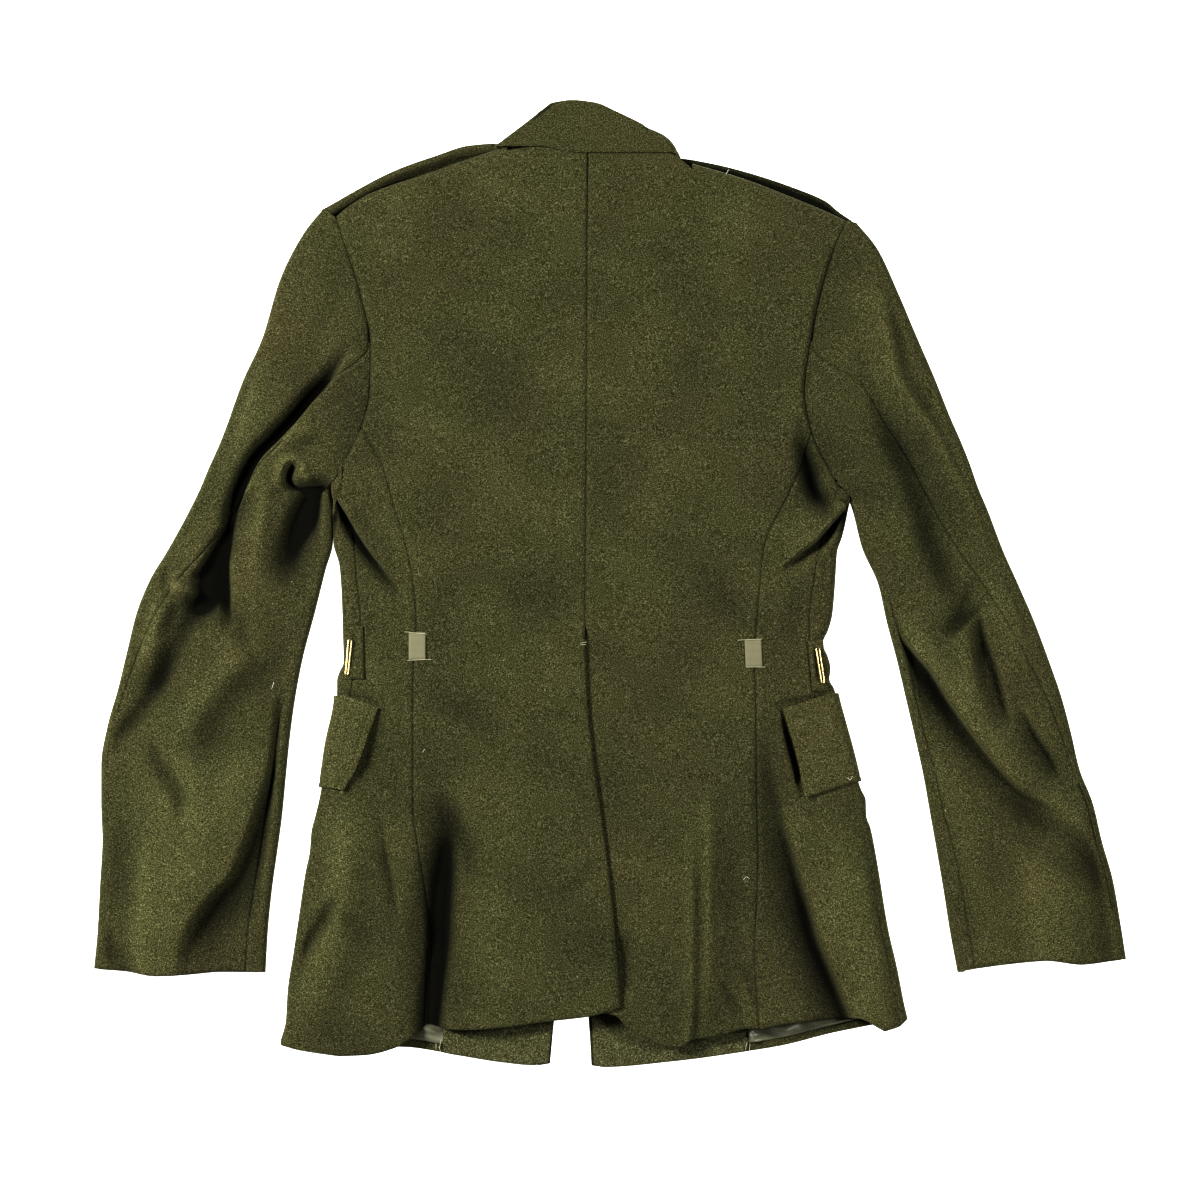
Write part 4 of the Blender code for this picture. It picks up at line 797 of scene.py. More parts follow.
def make_side(side):
    back_seam = hand(side, BACK_SEAM_L, BACK_SEAM_R)
    front_seam = hand(side, FRONT_SEAM_L, FRONT_SEAM_R)
    hem = hand(side, HEM_SIDE_L, HEM_SIDE_R)
    top_back, top_front = hand(side, SIDE_TOP_L, SIDE_TOP_R)
    foot_back, foot_front = back_seam[-1][0], front_seam[-1][0]

    def place(column, row):
        wide = abs(foot_front - foot_back)
        part = spread(SIDE_COLUMNS, wide)(column) / wide
        top = lerp(top_back, top_front, part)
        foot = outline(hem, lerp(foot_back, foot_front, part))
        tall = top - foot
        down = spread(SIDE_ROWS, tall)(row) / tall
        back_y, front_y = outline(hem, foot_back), outline(hem, foot_front)
        left = at_y(back_seam, lerp(top_back, back_y, down))
        right = at_y(front_seam, lerp(top_front, front_y, down))
        straight = lerp(at_y(armhole(side), top_back), at_y(armhole(side), top_front), part)
        bow = (at_y(armhole(side), top) - straight) * (1 - down) ** ARM_BOW
        x, y = lerp(left, right, part) + bow, lerp(top, foot, down)
        across = abs(right - left)
        roll = seam_roll(across * part) + seam_roll(across * (1 - part)) * seam_shows(y)
        roll = roll + seam_roll(tall * down) + seam_roll(tall * (1 - down))
        return drape(side, x, y, roll)

    return cloth(f"side_{HANDS[side]}_panel", SIDE_COLUMNS, SIDE_ROWS, place, SERGE)


for side in HANDS:
    sewn(make_side(side), f"side_{HANDS[side]}")

# ==== fronts =================================================================================
# Each front is seen from its side seam to the side edge. There it turns under and lies below
# the back, up to its buttoned front edge, with its hem seen past the backs' hems.
HEM_FRONT_L = [(-276, -387), (-260, -391), (-227, -396)]
HEM_FRONT_R = [(230, -375), (243, -371), (249, -365)]
HEM_UNDER_L = [
    (-276, -387), (-229, -392), (-176, -389), (-127, -396), (-85, -402), (-54, -404.5), (-52.5, -403),
]
HEM_UNDER_R = [(-16, -404.5), (-13, -406), (51, -401), (113, -393), (144, -388), (188, -377), (249, -365)]
UNDERARM = 9  # the armhole's last knot
FRONT_SIDE_KNOT = 7  # the knot where the front side seam starts
HEM_CORNER_Y = -380.0  # where the side edge meets the hem
HEM_FADE = 6.0  # the hem's roll dies out towards the side edge
HEM_BEND = 3  # power with which the hem's curve comes in down the skirt
SHOULDER_ROWS = (3, 6)  # rows over which the front leaves its shoulder seam at the arm and neck
FRONT_TOP_COLUMNS = 16
FRONT_TURN_COLUMNS = 8
FRONT_UNDER_COLUMNS = 26
FRONT_CHEST_ROWS = 34
FRONT_SKIRT_ROWS = 210


def side_ring(side, y, angle):
    """Middle of the wall on the round side edge, and its direction: +90 degrees is up."""
    edge = edge_x(side, y)
    low = under_middle(side, edge, y)
    high = body_lay(side, edge, y)[0]
    radius = (high - low) / 2
    turn = np.radians(angle)
    out = stack(side * np.cos(turn), 0, np.sin(turn) + 0 * y)
    return stack(edge - side * (radius + CLOTH / 2), y, low + radius) + out * radius[:, None], out


def make_front(side):
    front_seam = hand(side, FRONT_SEAM_L, FRONT_SEAM_R)
    front_edge = hand(side, FRONT_EDGE_L, FRONT_EDGE_R)
    hem_top, hem_under = hand(side, HEM_FRONT_L, HEM_FRONT_R), hand(side, HEM_UNDER_L, HEM_UNDER_R)
    knots = armhole(side)
    seam_top, underarm = float(knots[FRONT_SIDE_KNOT][1]), float(knots[UNDERARM][1])
    tip, neck = shoulder_seam(side)
    foot = FRONT_TOP_COLUMNS + FRONT_TURN_COLUMNS
    rim = knots[FRONT_SIDE_KNOT:]
    tangent_top = float(side_ring(side, np.array([underarm]), 90.0)[0][0, 0])
    tangent_y = float(outline(rim, tangent_top))
    hem_start = outline(hem_top, edge_x(side, HEM_CORNER_Y))
    tangent_foot = float(side_ring(side, np.array([hem_start]), 90.0)[0][0, 0])

    def place(column, row):
        chest = row < FRONT_CHEST_ROWS
        down = np.clip((row - FRONT_CHEST_ROWS) / FRONT_SKIRT_ROWS, 0, 1)
        # below: from the side edge to the front edge
        part = (column - foot) / FRONT_UNDER_COLUMNS
        shoulder_x = lerp(tip[0], neck[0], part)
        y = lerp(lerp(tip[1], neck[1], part), underarm, row / FRONT_CHEST_ROWS)
        outer = lerp(tip[0], at_y(knots, y), ramp(row, 0, SHOULDER_ROWS[0]))
        edge = lerp(neck[0], at_y(front_edge, y), ramp(row, 0, SHOULDER_ROWS[1]))
        chest_x = np.where(row == 0, shoulder_x, lerp(outer, edge, part))
        skirt_y = lerp(underarm, hem_start, down)
        ring, out = side_ring(side, skirt_y, -90.0)
        skirt_x = lerp(ring[:, 0], at_y(front_edge, skirt_y), part)
        skirt_y = skirt_y + (outline(hem_under, skirt_x) - hem_start) * down ** HEM_BEND
        x, y = np.where(chest, chest_x, skirt_x), np.where(chest, y, skirt_y)
        points, out = stack(x, y, under_middle(side, x, y) - CLOTH / 2), facing(DOWN, x)
        # the round side edge
        angle = 90 - 180 * (column - FRONT_TOP_COLUMNS) / FRONT_TURN_COLUMNS
        around = side_ring(side, np.full(y.shape, underarm), np.clip(angle, 0, 90))[0][:, 0]
        turn_y = lerp(np.where(angle > 0, outline(rim, around), underarm), hem_start, down)
        ring, ring_out = side_ring(side, turn_y, angle)
        hem_y = lerp(outline(hem_top, ring[:, 0]), outline(hem_under, ring[:, 0]), (90 - angle) / 180)
        ring[:, 1] += (hem_y - hem_start) * down ** HEM_BEND
        turned = (column < foot) & (column >= FRONT_TOP_COLUMNS)
        points[turned] = (ring + ring_out * CLOTH / 2)[turned]
        out[turned] = ring_out[turned]
        # the part beside the side seam
        part = np.clip(column / FRONT_TOP_COLUMNS, 0, 1)
        top = lerp(seam_top, tangent_y, part)
        foot_y = outline(hem_top, lerp(front_seam[-1][0], tangent_foot, part))
        y = lerp(top, foot_y, down)
        seam_x = at_y(front_seam, lerp(seam_top, foot_y, down))
        tangent = side_ring(side, turn_y, 90.0)[0][:, 0]
        bow = (at_y(rim, top) - lerp(rim[0][0], tangent_top, part)) * (1 - down) ** ARM_BOW
        x = lerp(seam_x, tangent, part) + bow
        roll = seam_roll(abs(x - seam_x)) * seam_shows(y)
        roll = roll + seam_roll(np.maximum(y - foot_y, 0) + HEM_FADE * part)
        flat, flat_out, fold = drape(side, x, y, roll * (1 - part) ** 0.5)
        upper = column < FRONT_TOP_COLUMNS
        points[upper], out[upper] = flat[upper], flat_out[upper]
        return points, out, np.where(column < foot, fold, 0)

    def keep(column, row):
        return row > FRONT_CHEST_ROWS or column > foot

    return cloth(f"front_{HANDS[side]}_panel", foot + FRONT_UNDER_COLUMNS,
                 FRONT_CHEST_ROWS + FRONT_SKIRT_ROWS, place, SERGE, keep=keep)


for side, below in ((-1, ["table"]), (1, ["table", "front_left_panel"])):
    sewn(make_front(side), f"front_{HANDS[side]}")

# ==== sleeves ================================================================================
# Two-piece sleeves of the same serge. The top sleeve goes from the hind-arm seam round the
# outer edge and below to the forearm seam, and the under sleeve lies between the seams. The
# arms were folded in the cloth, so they keep a long tuck, an elbow knot and forearm folds.
SLEEVE_HEIGHT = (17.0, 13.0)  # top ply at the head and at the cuff
SLEEVE_EDGE = (11.0, 9.0)  # the same at its edges
SLEEVE_SOFT = 6.0
SLEEVE_FOLD_EDGE = 8.0  # distance over which folds grow from the edge
SLEEVE_FULL = 1.15
TUCK = 1.2  # the sleeve is tucked this far under the body at the underarm
TUCK_REACH = 0.7  # sections
UNDER_SLEEVE_START = 3  # the section where the hind-arm seam leaves the armhole
JOINED = UNDERARM - 1  # the last section that is sewn to the body
CLOSES_FROM = UNDERARM - 1.5

Section = namedtuple("Section", "outer_x outer_y inner_x inner_y hind fore")
SLEEVE_L = [
    Section(-241, 313.6, -230, 307, 1, 1),
    Section(-256, 295, -221, 280, 1, 1),
    Section(-276, 257, -209, 242, 1, 1),
    Section(-292, 205, -201, 202, 1, 1),
    Section(-308, 170, -202, 160, 0.63, 1),
    Section(-321, 134, -209, 131, 0.50, 1),
    Section(-328, 116, -215, 118, 0.48, 1),
    Section(-337, 96, -221, 105, 0.40, 1),
    Section(-345, 77, -226, 93, 0.375, 1),
    Section(-355, 57, -234.5, 76, 0.35, 0.95),
    Section(-371, 28, -232.5, 37, 0.236, 0.95),
    Section(-386, 3, -239, 10, 0.17, 0.95),
    Section(-397, -24, -248, -26, 0.115, 0.95),
    Section(-405, -56, -258, -64, 0.07, 0.94),
    Section(-413, -89, -265, -102, 0.045, 0.935),
    Section(-422, -121, -269, -133, 0.035, 0.93),
    Section(-427, -152, -272, -163, 0.035, 0.924),
    Section(-427, -184, -275, -194, 0.035, 0.91),
    Section(-426, -215, -279, -224, 0.035, 0.903),
    Section(-428, -253, -283.5, -256, 0.035, 0.896),
    Section(-430, -291, -287, -291, 0.035, 0.884),
    Section(-433, -323, -289, -326, 0.035, 0.885),
]
SLEEVE_R = [
    Section(207, 302, 198, 304, 1, 1),
    Section(224, 281, 187, 278, 1, 1),
    Section(242, 243, 176, 242, 1, 1),
    Section(256, 210, 168, 202, 1, 1),
    Section(272, 173, 163, 160, 0.55, 1),
    Section(286, 138, 169, 127, 0.47, 1),
    Section(294, 120, 176, 110, 0.436, 1),
    Section(302, 100, 184, 96, 0.42, 1),
    Section(309, 80, 190, 84, 0.404, 1),
    Section(317, 61, 203, 66, 0.40, 0.95),
    Section(330, 27, 211.5, 30, 0.32, 0.95),
    Section(343, -2, 225, -1, 0.255, 0.95),
    Section(356, -32, 232, -32, 0.19, 0.94),
    Section(368, -64, 240.5, -64, 0.14, 0.927),
    Section(379, -96, 248.5, -98, 0.10, 0.935),
    Section(387, -126, 256, -130, 0.068, 0.935),
    Section(394, -156, 263, -162, 0.045, 0.923),
    Section(405, -184, 268.5, -193, 0.035, 0.92),
    Section(413, -217, 274, -224, 0.035, 0.90),
    Section(422, -249, 279.5, -256, 0.035, 0.893),
    Section(428, -283, 285, -291, 0.035, 0.894),
    Section(433, -315, 291.5, -326, 0.035, 0.90),
]
SLEEVE_CREASES_L = [
    # the long tuck from the armhole to the elbow: its lower lip, then its upper one
    Crease(13.0, 8, 2.0, 5.0, 2.0, -1, [(-208.5, 200.5, 0), (-222.5, 182.5, 0.25), (-235, 162.5, 0.7),
        (-245.5, 151, 1), (-260.5, 133, 1), (-274.5, 118, 1), (-290, 102, 1), (-298, 87, 1),
        (-305, 70, 1), (-311, 51.5, 1), (-314, 32.5, 1), (-316, 15.5, 1), (-315, -5.5, 0.8),
        (-314, -26.5, 0.4), (-313.5, -45, 0)]),
    ridge(3.0, 8, [(-242, 134, 0), (-255.5, 125.5, 0.7), (-270.5, 110.5, 1), (-280.5, 95.5, 1),
        (-287.5, 77, 1), (-292.5, 53.5, 1), (-295.5, 19.5, 0.6), (-298, -14, 0)]),
    Crease(7.0, 10, 1.5, 5.0, 0.5, 1, [(-306, 78.5, 0), (-311, 66, 0.6), (-323.5, 47.5, 1),
        (-334.5, 30, 1), (-344.5, 15.5, 0.9), (-353, 6.5, 0)]),
    trough(9.0, 12, [(-319, 45, 0), (-326, 26.5, 0.9), (-332, 7, 1), (-339.5, -14, 1)]),
    trough(6.0, 9, [(-334.5, 3, 0.3), (-340, -14, 1), (-351, -30.5, 0.8), (-360.5, -47.5, 0.7),
        (-368, -67.5, 0.6), (-378, -84.5, 0.5), (-386.5, -98, 0)]),
    # the elbow knot
    ridge(7.0, 5, [(-368, -0.5, 0.2), (-361, -4.5, 1), (-353, -8, 1), (-345, -9, 0.4)]),
    trough(2.6, 5, [(-373, 19.5, 0), (-373, 7, 1), (-372, -14, 0)]),
    trough(3.0, 6, [(-359.5, -15.5, 0), (-364.5, -24, 1), (-369.5, -37.5, 0.8), (-374.5, -51.5, 0)]),
    ridge(3.0, 9, [(-378, -14, 0), (-379.5, -30.5, 1), (-386.5, -56, 1), (-395, -81, 0)]),
    # soft folds below the elbow
    trough(2.3, 13, [(-260.5, -47.5, 0), (-273, -60, 0.6), (-292.5, -77, 1), (-311, -93.5, 1),
        (-326, -113, 1), (-334.5, -131.5, 1), (-340, -146.5, 0.7), (-342, -166.5, 0)]),
    trough(4.0, 7, [(-421.5, -150, 0), (-411.5, -130, 0.6), (-400, -116.5, 1), (-386.5, -98, 1),
        (-378, -82.5, 1), (-371.5, -66, 0.8), (-368, -47.5, 0)]),
    trough(3.0, 7, [(-314, -14, 0), (-311, -32.5, 0.8), (-306, -49, 1), (-297.5, -60, 0.6),
        (-290.5, -66, 0)]),
    ridge(2.5, 12, [(-292.5, -47.5, 0), (-311, -64.5, 1), (-332, -89.5, 1), (-348.5, -114.5, 0.8),
        (-357, -140, 0)]),
    trough(4.5, 6, [(-386.5, -133, 0), (-379.5, -146.5, 0.8), (-371.5, -161, 1), (-362, -175, 1),
        (-358, -188.5, 0.8), (-361, -200.5, 0)]),
    # the forearm: a valley from the inner edge to the cuff
    Crease(6.6, 24, 1.8, 14.0, 0.0, 1, [(-264, -81, 0.2), (-273, -116.5, 0.6), (-284, -144, 0.85),
        (-295.5, -173.5, 1), (-302.5, -194.5, 1), (-308.5, -211.5, 1), (-315, -228, 1),
        (-323.5, -245, 1), (-336, -257.5, 1), (-346, -270, 1), (-357, -287, 0.9), (-364.5, -308, 0.6),
        (-368, -329, 0.3)]),
    trough(7.0, 5, [(-271.5, -88, 0), (-274, -106.5, 0.8), (-276.5, -130, 1), (-279, -152.5, 0.8),
        (-281.5, -173.5, 0.3), (-284, -194.5, 0)]),
    ridge(2.0, 10, [(-386.5, -207, 0), (-386.5, -240.5, 1), (-387, -282.5, 1), (-388, -324.5, 0.6)]),
    ridge(2.2, 11, [(-353, -140, 0), (-344.5, -169.5, 1), (-339.5, -198.5, 1), (-348, -232.5, 0)]),
    trough(2.0, 12, [(-410, -182, 0), (-408, -232.5, 1), (-408, -291, 1), (-405, -324.5, 0.8)]),
    trough(3.5, 8, [(-428.5, -282.5, 0), (-423.5, -298, 1), (-416.5, -312, 1), (-408, -323, 0.6)]),
    ridge(3.4, 30, [(-365.5, -98, 0), (-363, -165, 0.7), (-369.5, -232.5, 1), (-378, -282.5, 1),
        (-382, -329, 0.8)]),
    ridge(2.5, 16, [(-302.5, -131.5, 0), (-315, -173.5, 1), (-332, -215.5, 1), (-353, -249, 0.8),
        (-374, -291, 0.5)]),
    # the head
    ridge(1.6, 13, [(-269, 238, 0), (-287.5, 200.5, 1), (-299, 154, 1), (-311, 112, 0.8),
        (-332, 82.5, 0)]),
    trough(1.6, 12, [(-222.5, 280, 0), (-231, 238, 1), (-245.5, 200.5, 1), (-264, 162.5, 0.5),
        (-273, 145.5, 0)]),
    # the curl under the arm
    trough(8.0, 3.5, [(-263, 99.5, 0), (-268, 94.5, 1), (-269.5, 87, 1), (-265.5, 81, 1),
        (-256, 78.5, 1), (-245.5, 76, 1), (-237, 71, 0.8)]),
    trough(15.0, 11, [(-243.5, 75, 1), (-249.5, 65, 1), (-257, 50, 0.9), (-264, 35, 0.65),
        (-269, 18, 0.4), (-272, -5.5, 0)]),
    ridge(3.0, 4.5, [(-274.5, 77, 0), (-276.5, 88.5, 1), (-272, 100.5, 1), (-264, 104.5, 1),
        (-257, 99.5, 0.8), (-254.5, 90.5, 0.8), (-245.5, 83.5, 0.9), (-234.5, 78.5, 0.6)]),
    trough(2.5, 8, [(-284, 66, 0), (-280.5, 95.5, 1), (-267, 112, 1), (-250.5, 117, 0.6),
        (-235, 120.5, 0)]),
]
SLEEVE_CREASES_R = [
    ridge(2.6, 5, [(225, 250.5, 0), (228.5, 234, 0.6), (232.5, 213, 0.9), (236, 194.5, 1), (240, 176, 1),
        (249.5, 159, 1), (258.5, 145, 1), (269, 130.5, 1), (279, 112, 1), (289, 92, 1), (299, 77, 1),
        (309, 61.5, 1), (317.5, 45, 0.6), (323.5, 30.5, 0)]),
    trough(1.5, 8, [(237.5, 238, 0), (245.5, 204.5, 1), (248.5, 182.5, 1), (264.5, 154, 1),
        (281.5, 129, 1), (298, 98.5, 0.8), (315, 70, 0)]),
    trough(5.0, 10, [(208.5, 200.5, 0), (220, 164, 0.5), (230, 137.5, 0.8), (241, 110.5, 1),
        (253, 85.5, 1), (261, 63.5, 1), (267, 40.5, 1), (275.5, 18, 1), (285.5, -4, 0.8),
        (297.5, -20.5, 0)]),
    # hollows at the elbow
    Crease(4.0, 11, 0.8, 2.5, 0.2, -1, [(313.5, -22.5, 0.2), (306.5, -28, 0.8), (299, -35.5, 1),
        (291.5, -42.5, 1), (284, -49, 0.3)]),
    trough(2.6, 6, [(308.5, 6.5, 0), (302.5, -4, 0.8), (296.5, -17, 1), (292.5, -30.5, 0.7),
        (287.5, -42.5, 0)]),
    Crease(5.2, 11, 0.8, 3.0, 0.2, -1, [(310, -19, 0.1), (313.5, -32.5, 0.7), (317.5, -47.5, 1),
        (323.5, -64.5, 1), (328.5, -81, 1), (332, -96, 0.9), (335, -109.5, 0.6), (338.5, -123, 0)]),
    trough(2.4, 6, [(311, -47.5, 0), (310, -64.5, 1), (312.5, -81, 0.8), (319, -98, 0)]),
    Crease(4.4, 10, 0.8, 3.0, 0.2, -1, [(346, -104.5, 0.1), (353.5, -116.5, 0.8), (362, -130.5, 1),
        (369.5, -141.5, 1), (375.5, -153.5, 0.8), (379.5, -166.5, 0)]),
    ridge(2.5, 9, [(300.5, -30.5, 0), (300.5, -56, 1), (304, -89.5, 1), (315, -114.5, 0)]),
    ridge(2.5, 11, [(315, 19.5, 0), (330, -14, 1), (340, -47.5, 1), (348.5, -81, 0)]),
    # the fold that laps over the forearm
    Crease(8.0, 16, 2.6, 5.5, 0.8, -1, [(232, -20.5, 0), (240, -35.5, 0.4), (250.5, -48.5, 0.8),
        (259.5, -59, 1), (269, -70, 1), (285, -95.5, 1), (298, -114, 0.95), (316, -138, 0.8),
        (332.5, -158.5, 0.65), (346, -172, 0.5), (358.5, -179.5, 0.35), (374, -187, 0.2),
        (388, -193.5, 0)]),
    trough(3.2, 8, [(332.5, -177.5, 0), (346, -190.5, 0.6), (365.5, -203.5, 0.7), (388, -215.5, 0.8),
        (403, -229, 1), (414, -251.5, 1), (421.5, -270, 1), (426, -287, 0.5)]),
    ridge(2.5, 9, [(353, -173.5, 0), (378, -192, 1), (405, -208.5, 0.8)]),
    ridge(2.0, 14, [(264.5, -131.5, 0), (281.5, -173.5, 1), (302.5, -224, 1), (319, -291, 0.7),
        (327.5, -320.5, 0.4)]),
    trough(2.5, 13, [(336, -194.5, 0), (357, -219.5, 1), (378, -234, 1), (411.5, -239, 0.3)]),
    trough(2.2, 12, [(393, -215.5, 0), (407.5, -249, 1), (416.5, -282.5, 1), (421.5, -312, 0.8)]),
    ridge(1.8, 16, [(344.5, -232.5, 0), (361, -266, 1), (369.5, -316.5, 0.6)]),
    ridge(2.5, 24, [(336, -198.5, 0), (361, -249, 1), (369.5, -316.5, 0.8)]),
    ridge(3.0, 12, [(256, -39, 0.3), (277, -74.5, 1), (298, -103, 1), (319, -135.5, 0.8),
        (344.5, -165, 0.4)]),
    # the head
    ridge(1.5, 13, [(206, 271.5, 0), (222.5, 221.5, 1), (225, 171, 1), (210, 137.5, 0)]),
    trough(1.5, 13, [(243.5, 162.5, 0), (264.5, 103.5, 1), (285.5, 61.5, 1), (306.5, 19.5, 0)]),
]
LAST_SECTION = len(SLEEVE_L) - 1
# how far the cuff's edge waves from straight, at these shares of the way from its outer end
CUFF_L = [(0, 0), (0.2, -1.8), (0.36, -4.8), (0.54, -3.4), (0.75, -0.4), (1, 0)]
CUFF_R = [(0, 0), (0.24, -1.7), (0.5, 4.4), (0.72, 3.6), (0.89, 2.0), (1, 0)]
CUFF_REACH = 1.5  # sections
OVER_COLUMNS = 50  # hind-arm seam to outer edge
SLEEVE_TURN = 8
BELOW_COLUMNS = 14
FORE_COLUMNS = 8
UNDER_SLEEVE_COLUMNS = 62
PLAIN_HIND = (4.0, 9.0)  # nearer the outer edge than this the hind-arm seam is out of sight
FORE_SHOWS = {-1: (13.5, 15.0), 1: (10.8, 12.0)}  # sections over which the forearm seam comes up
SLEEVE_ROWS = 315  # 15 for each section
SECTION_LONG = 35.0  # millimetres of the sleeve for a section at the cuff
LEAST_WIDE = 12.0  # a ply narrower than this has its cells closer together
PLY_ENDS = 2.0  # and one narrower than this has no rolled edges
JOIN_BEND = 5  # power with which the sleeve comes up to the body's height


class SleeveLine:
    """The sections of a sleeve at these rows: ends, direction to the inner end, and seams."""

    def __init__(self, side, at):
        table = np.array(hand(side, SLEEVE_L, SLEEVE_R), float)
        knots = np.arange(len(table))
        outer_x, outer_y, inner_x, inner_y, self.hind, self.fore = (
            hermite(knots, table[:, key], at) for key in range(6))
        inner_x = np.where(at <= JOINED, at_y(armhole(side), inner_y), inner_x)
        self.side, self.at = side, at
        self.outer = stack(outer_x, outer_y, 0)
        across = stack(inner_x, inner_y, 0) - self.outer
        self.width = np.hypot(across[:, 0], across[:, 1])
        self.across = across / self.width[:, None]
        self.width = self.width + TUCK * np.exp(-((at - UNDERARM) / TUCK_REACH) ** 2)
        self.chest = CHEST_LIFT * ramp(inner_y, *CHEST_LINE)
        self.edge = lerp(*SLEEVE_EDGE, at / LAST_SECTION)
        self.free = ramp(at, JOINED, UNDERARM)  # 1 where the sleeve is free of the body

    def spot(self, distance):
        made = self.outer + self.across * np.asarray(distance)[:, None]
        wave = outline(hand(self.side, CUFF_L, CUFF_R), distance / self.width)
        made[:, 1] += wave * ramp(self.at, LAST_SECTION - CUFF_REACH, LAST_SECTION)
        return made

    def low(self, part):
        return ON_TABLE + self.chest * np.maximum(part, 1 - self.at / UNDER_SLEEVE_START)

    def own_top(self, distance):
        """Middle height of the top ply this far from the outer end, and its sideways shift."""
        near = np.maximum(distance - SLEEVE_SOFT, 0)
        far = np.maximum(self.width - distance - SLEEVE_SOFT, 0)
        rise = (1 - np.exp(-near / EDGE_RISE)) * (1 - self.free * np.exp(-far / EDGE_RISE))
        near = lerp(near, np.minimum(near, far), self.free)
        spot = self.spot(distance)
        lift, shift_x, shift_y = crease_lay(spot[:, 0], spot[:, 1],
                                            hand(self.side, SLEEVE_CREASES_L, SLEEVE_CREASES_R))
        grow = ramp(near, 0, SLEEVE_FOLD_EDGE)
        middle = lerp(*SLEEVE_HEIGHT, self.at / LAST_SECTION)
        height = self.edge + (middle - self.edge) * rise * SLEEVE_FULL
        fold = (lift + uneven(spot[:, 0], spot[:, 1])) * grow
        return height + fold, shift_x * grow, shift_y * grow, fold

    def top(self, distance, dip=0.0):
        """Outer face of the top ply this far from the outer end."""
        height, shift_x, shift_y, fold = self.own_top(distance)
        end = self.spot(self.width)
        part = (distance / self.width) ** JOIN_BEND * (1 - self.free)
        body = body_lay(self.side, end[:, 0], end[:, 1])
        own_end = self.own_top(self.width)
        height = height + (body[0] - own_end[0]) * part
        shift_x = shift_x + (body[1] - own_end[1]) * part
        shift_y = shift_y + (body[2] - own_end[2]) * part
        height = settle(height, self.low(distance / self.width) + CLOTH + AIR)
        spot = self.spot(distance)
        points = stack(spot[:, 0] + shift_x, spot[:, 1] + shift_y, height + CLOTH / 2 + dip)
        # painted shade along the seam's dip
        shade = SEAM_PAINTED_SHADE * np.minimum(dip, 0)
        return points, facing(UP, distance), fold + (body[3] - own_end[3]) * part + shade

    def reach(self):
        """Distance from an edge to where its round turn ends, at the outer and inner edges."""
        return tuple((self.edge - self.low(part)) / 2 + CLOTH / 2 for part in (0.0, 1.0))

    def ring(self, angle, inner_end):
        low = self.low(1.0 if inner_end else 0.0)
        radius = (self.edge - low) / 2
        away = self.across if inner_end else -self.across
        start = self.spot(self.width if inner_end else 0 * self.width)
        turn = np.radians(angle)
        out = away * np.cos(turn)[:, None] + np.array(UP) * np.sin(turn)[:, None]
        middle = start - away * (radius + CLOTH / 2)[:, None]
        middle[:, 2] = low + radius
        return middle + out * (radius + CLOTH / 2)[:, None], out

    def hind_at(self):
        tuck = TUCK * ramp(self.at, UNDER_SLEEVE_START - 0.5, UNDER_SLEEVE_START)
        return np.minimum(self.hind * self.width, self.width - tuck)


def cuff_roll(at):
    """The cuff's edge is turned in: the last few millimetres roll down."""
    return seam_roll((LAST_SECTION - at) * SECTION_LONG)


def sleeve_spread(columns, column, wide, **ends):
    """Distances of the columns across a ply of a sleeve, also where it is narrow."""
    full = np.maximum(wide, LEAST_WIDE)
    return spread(columns, full, **ends)(column) / full * wide


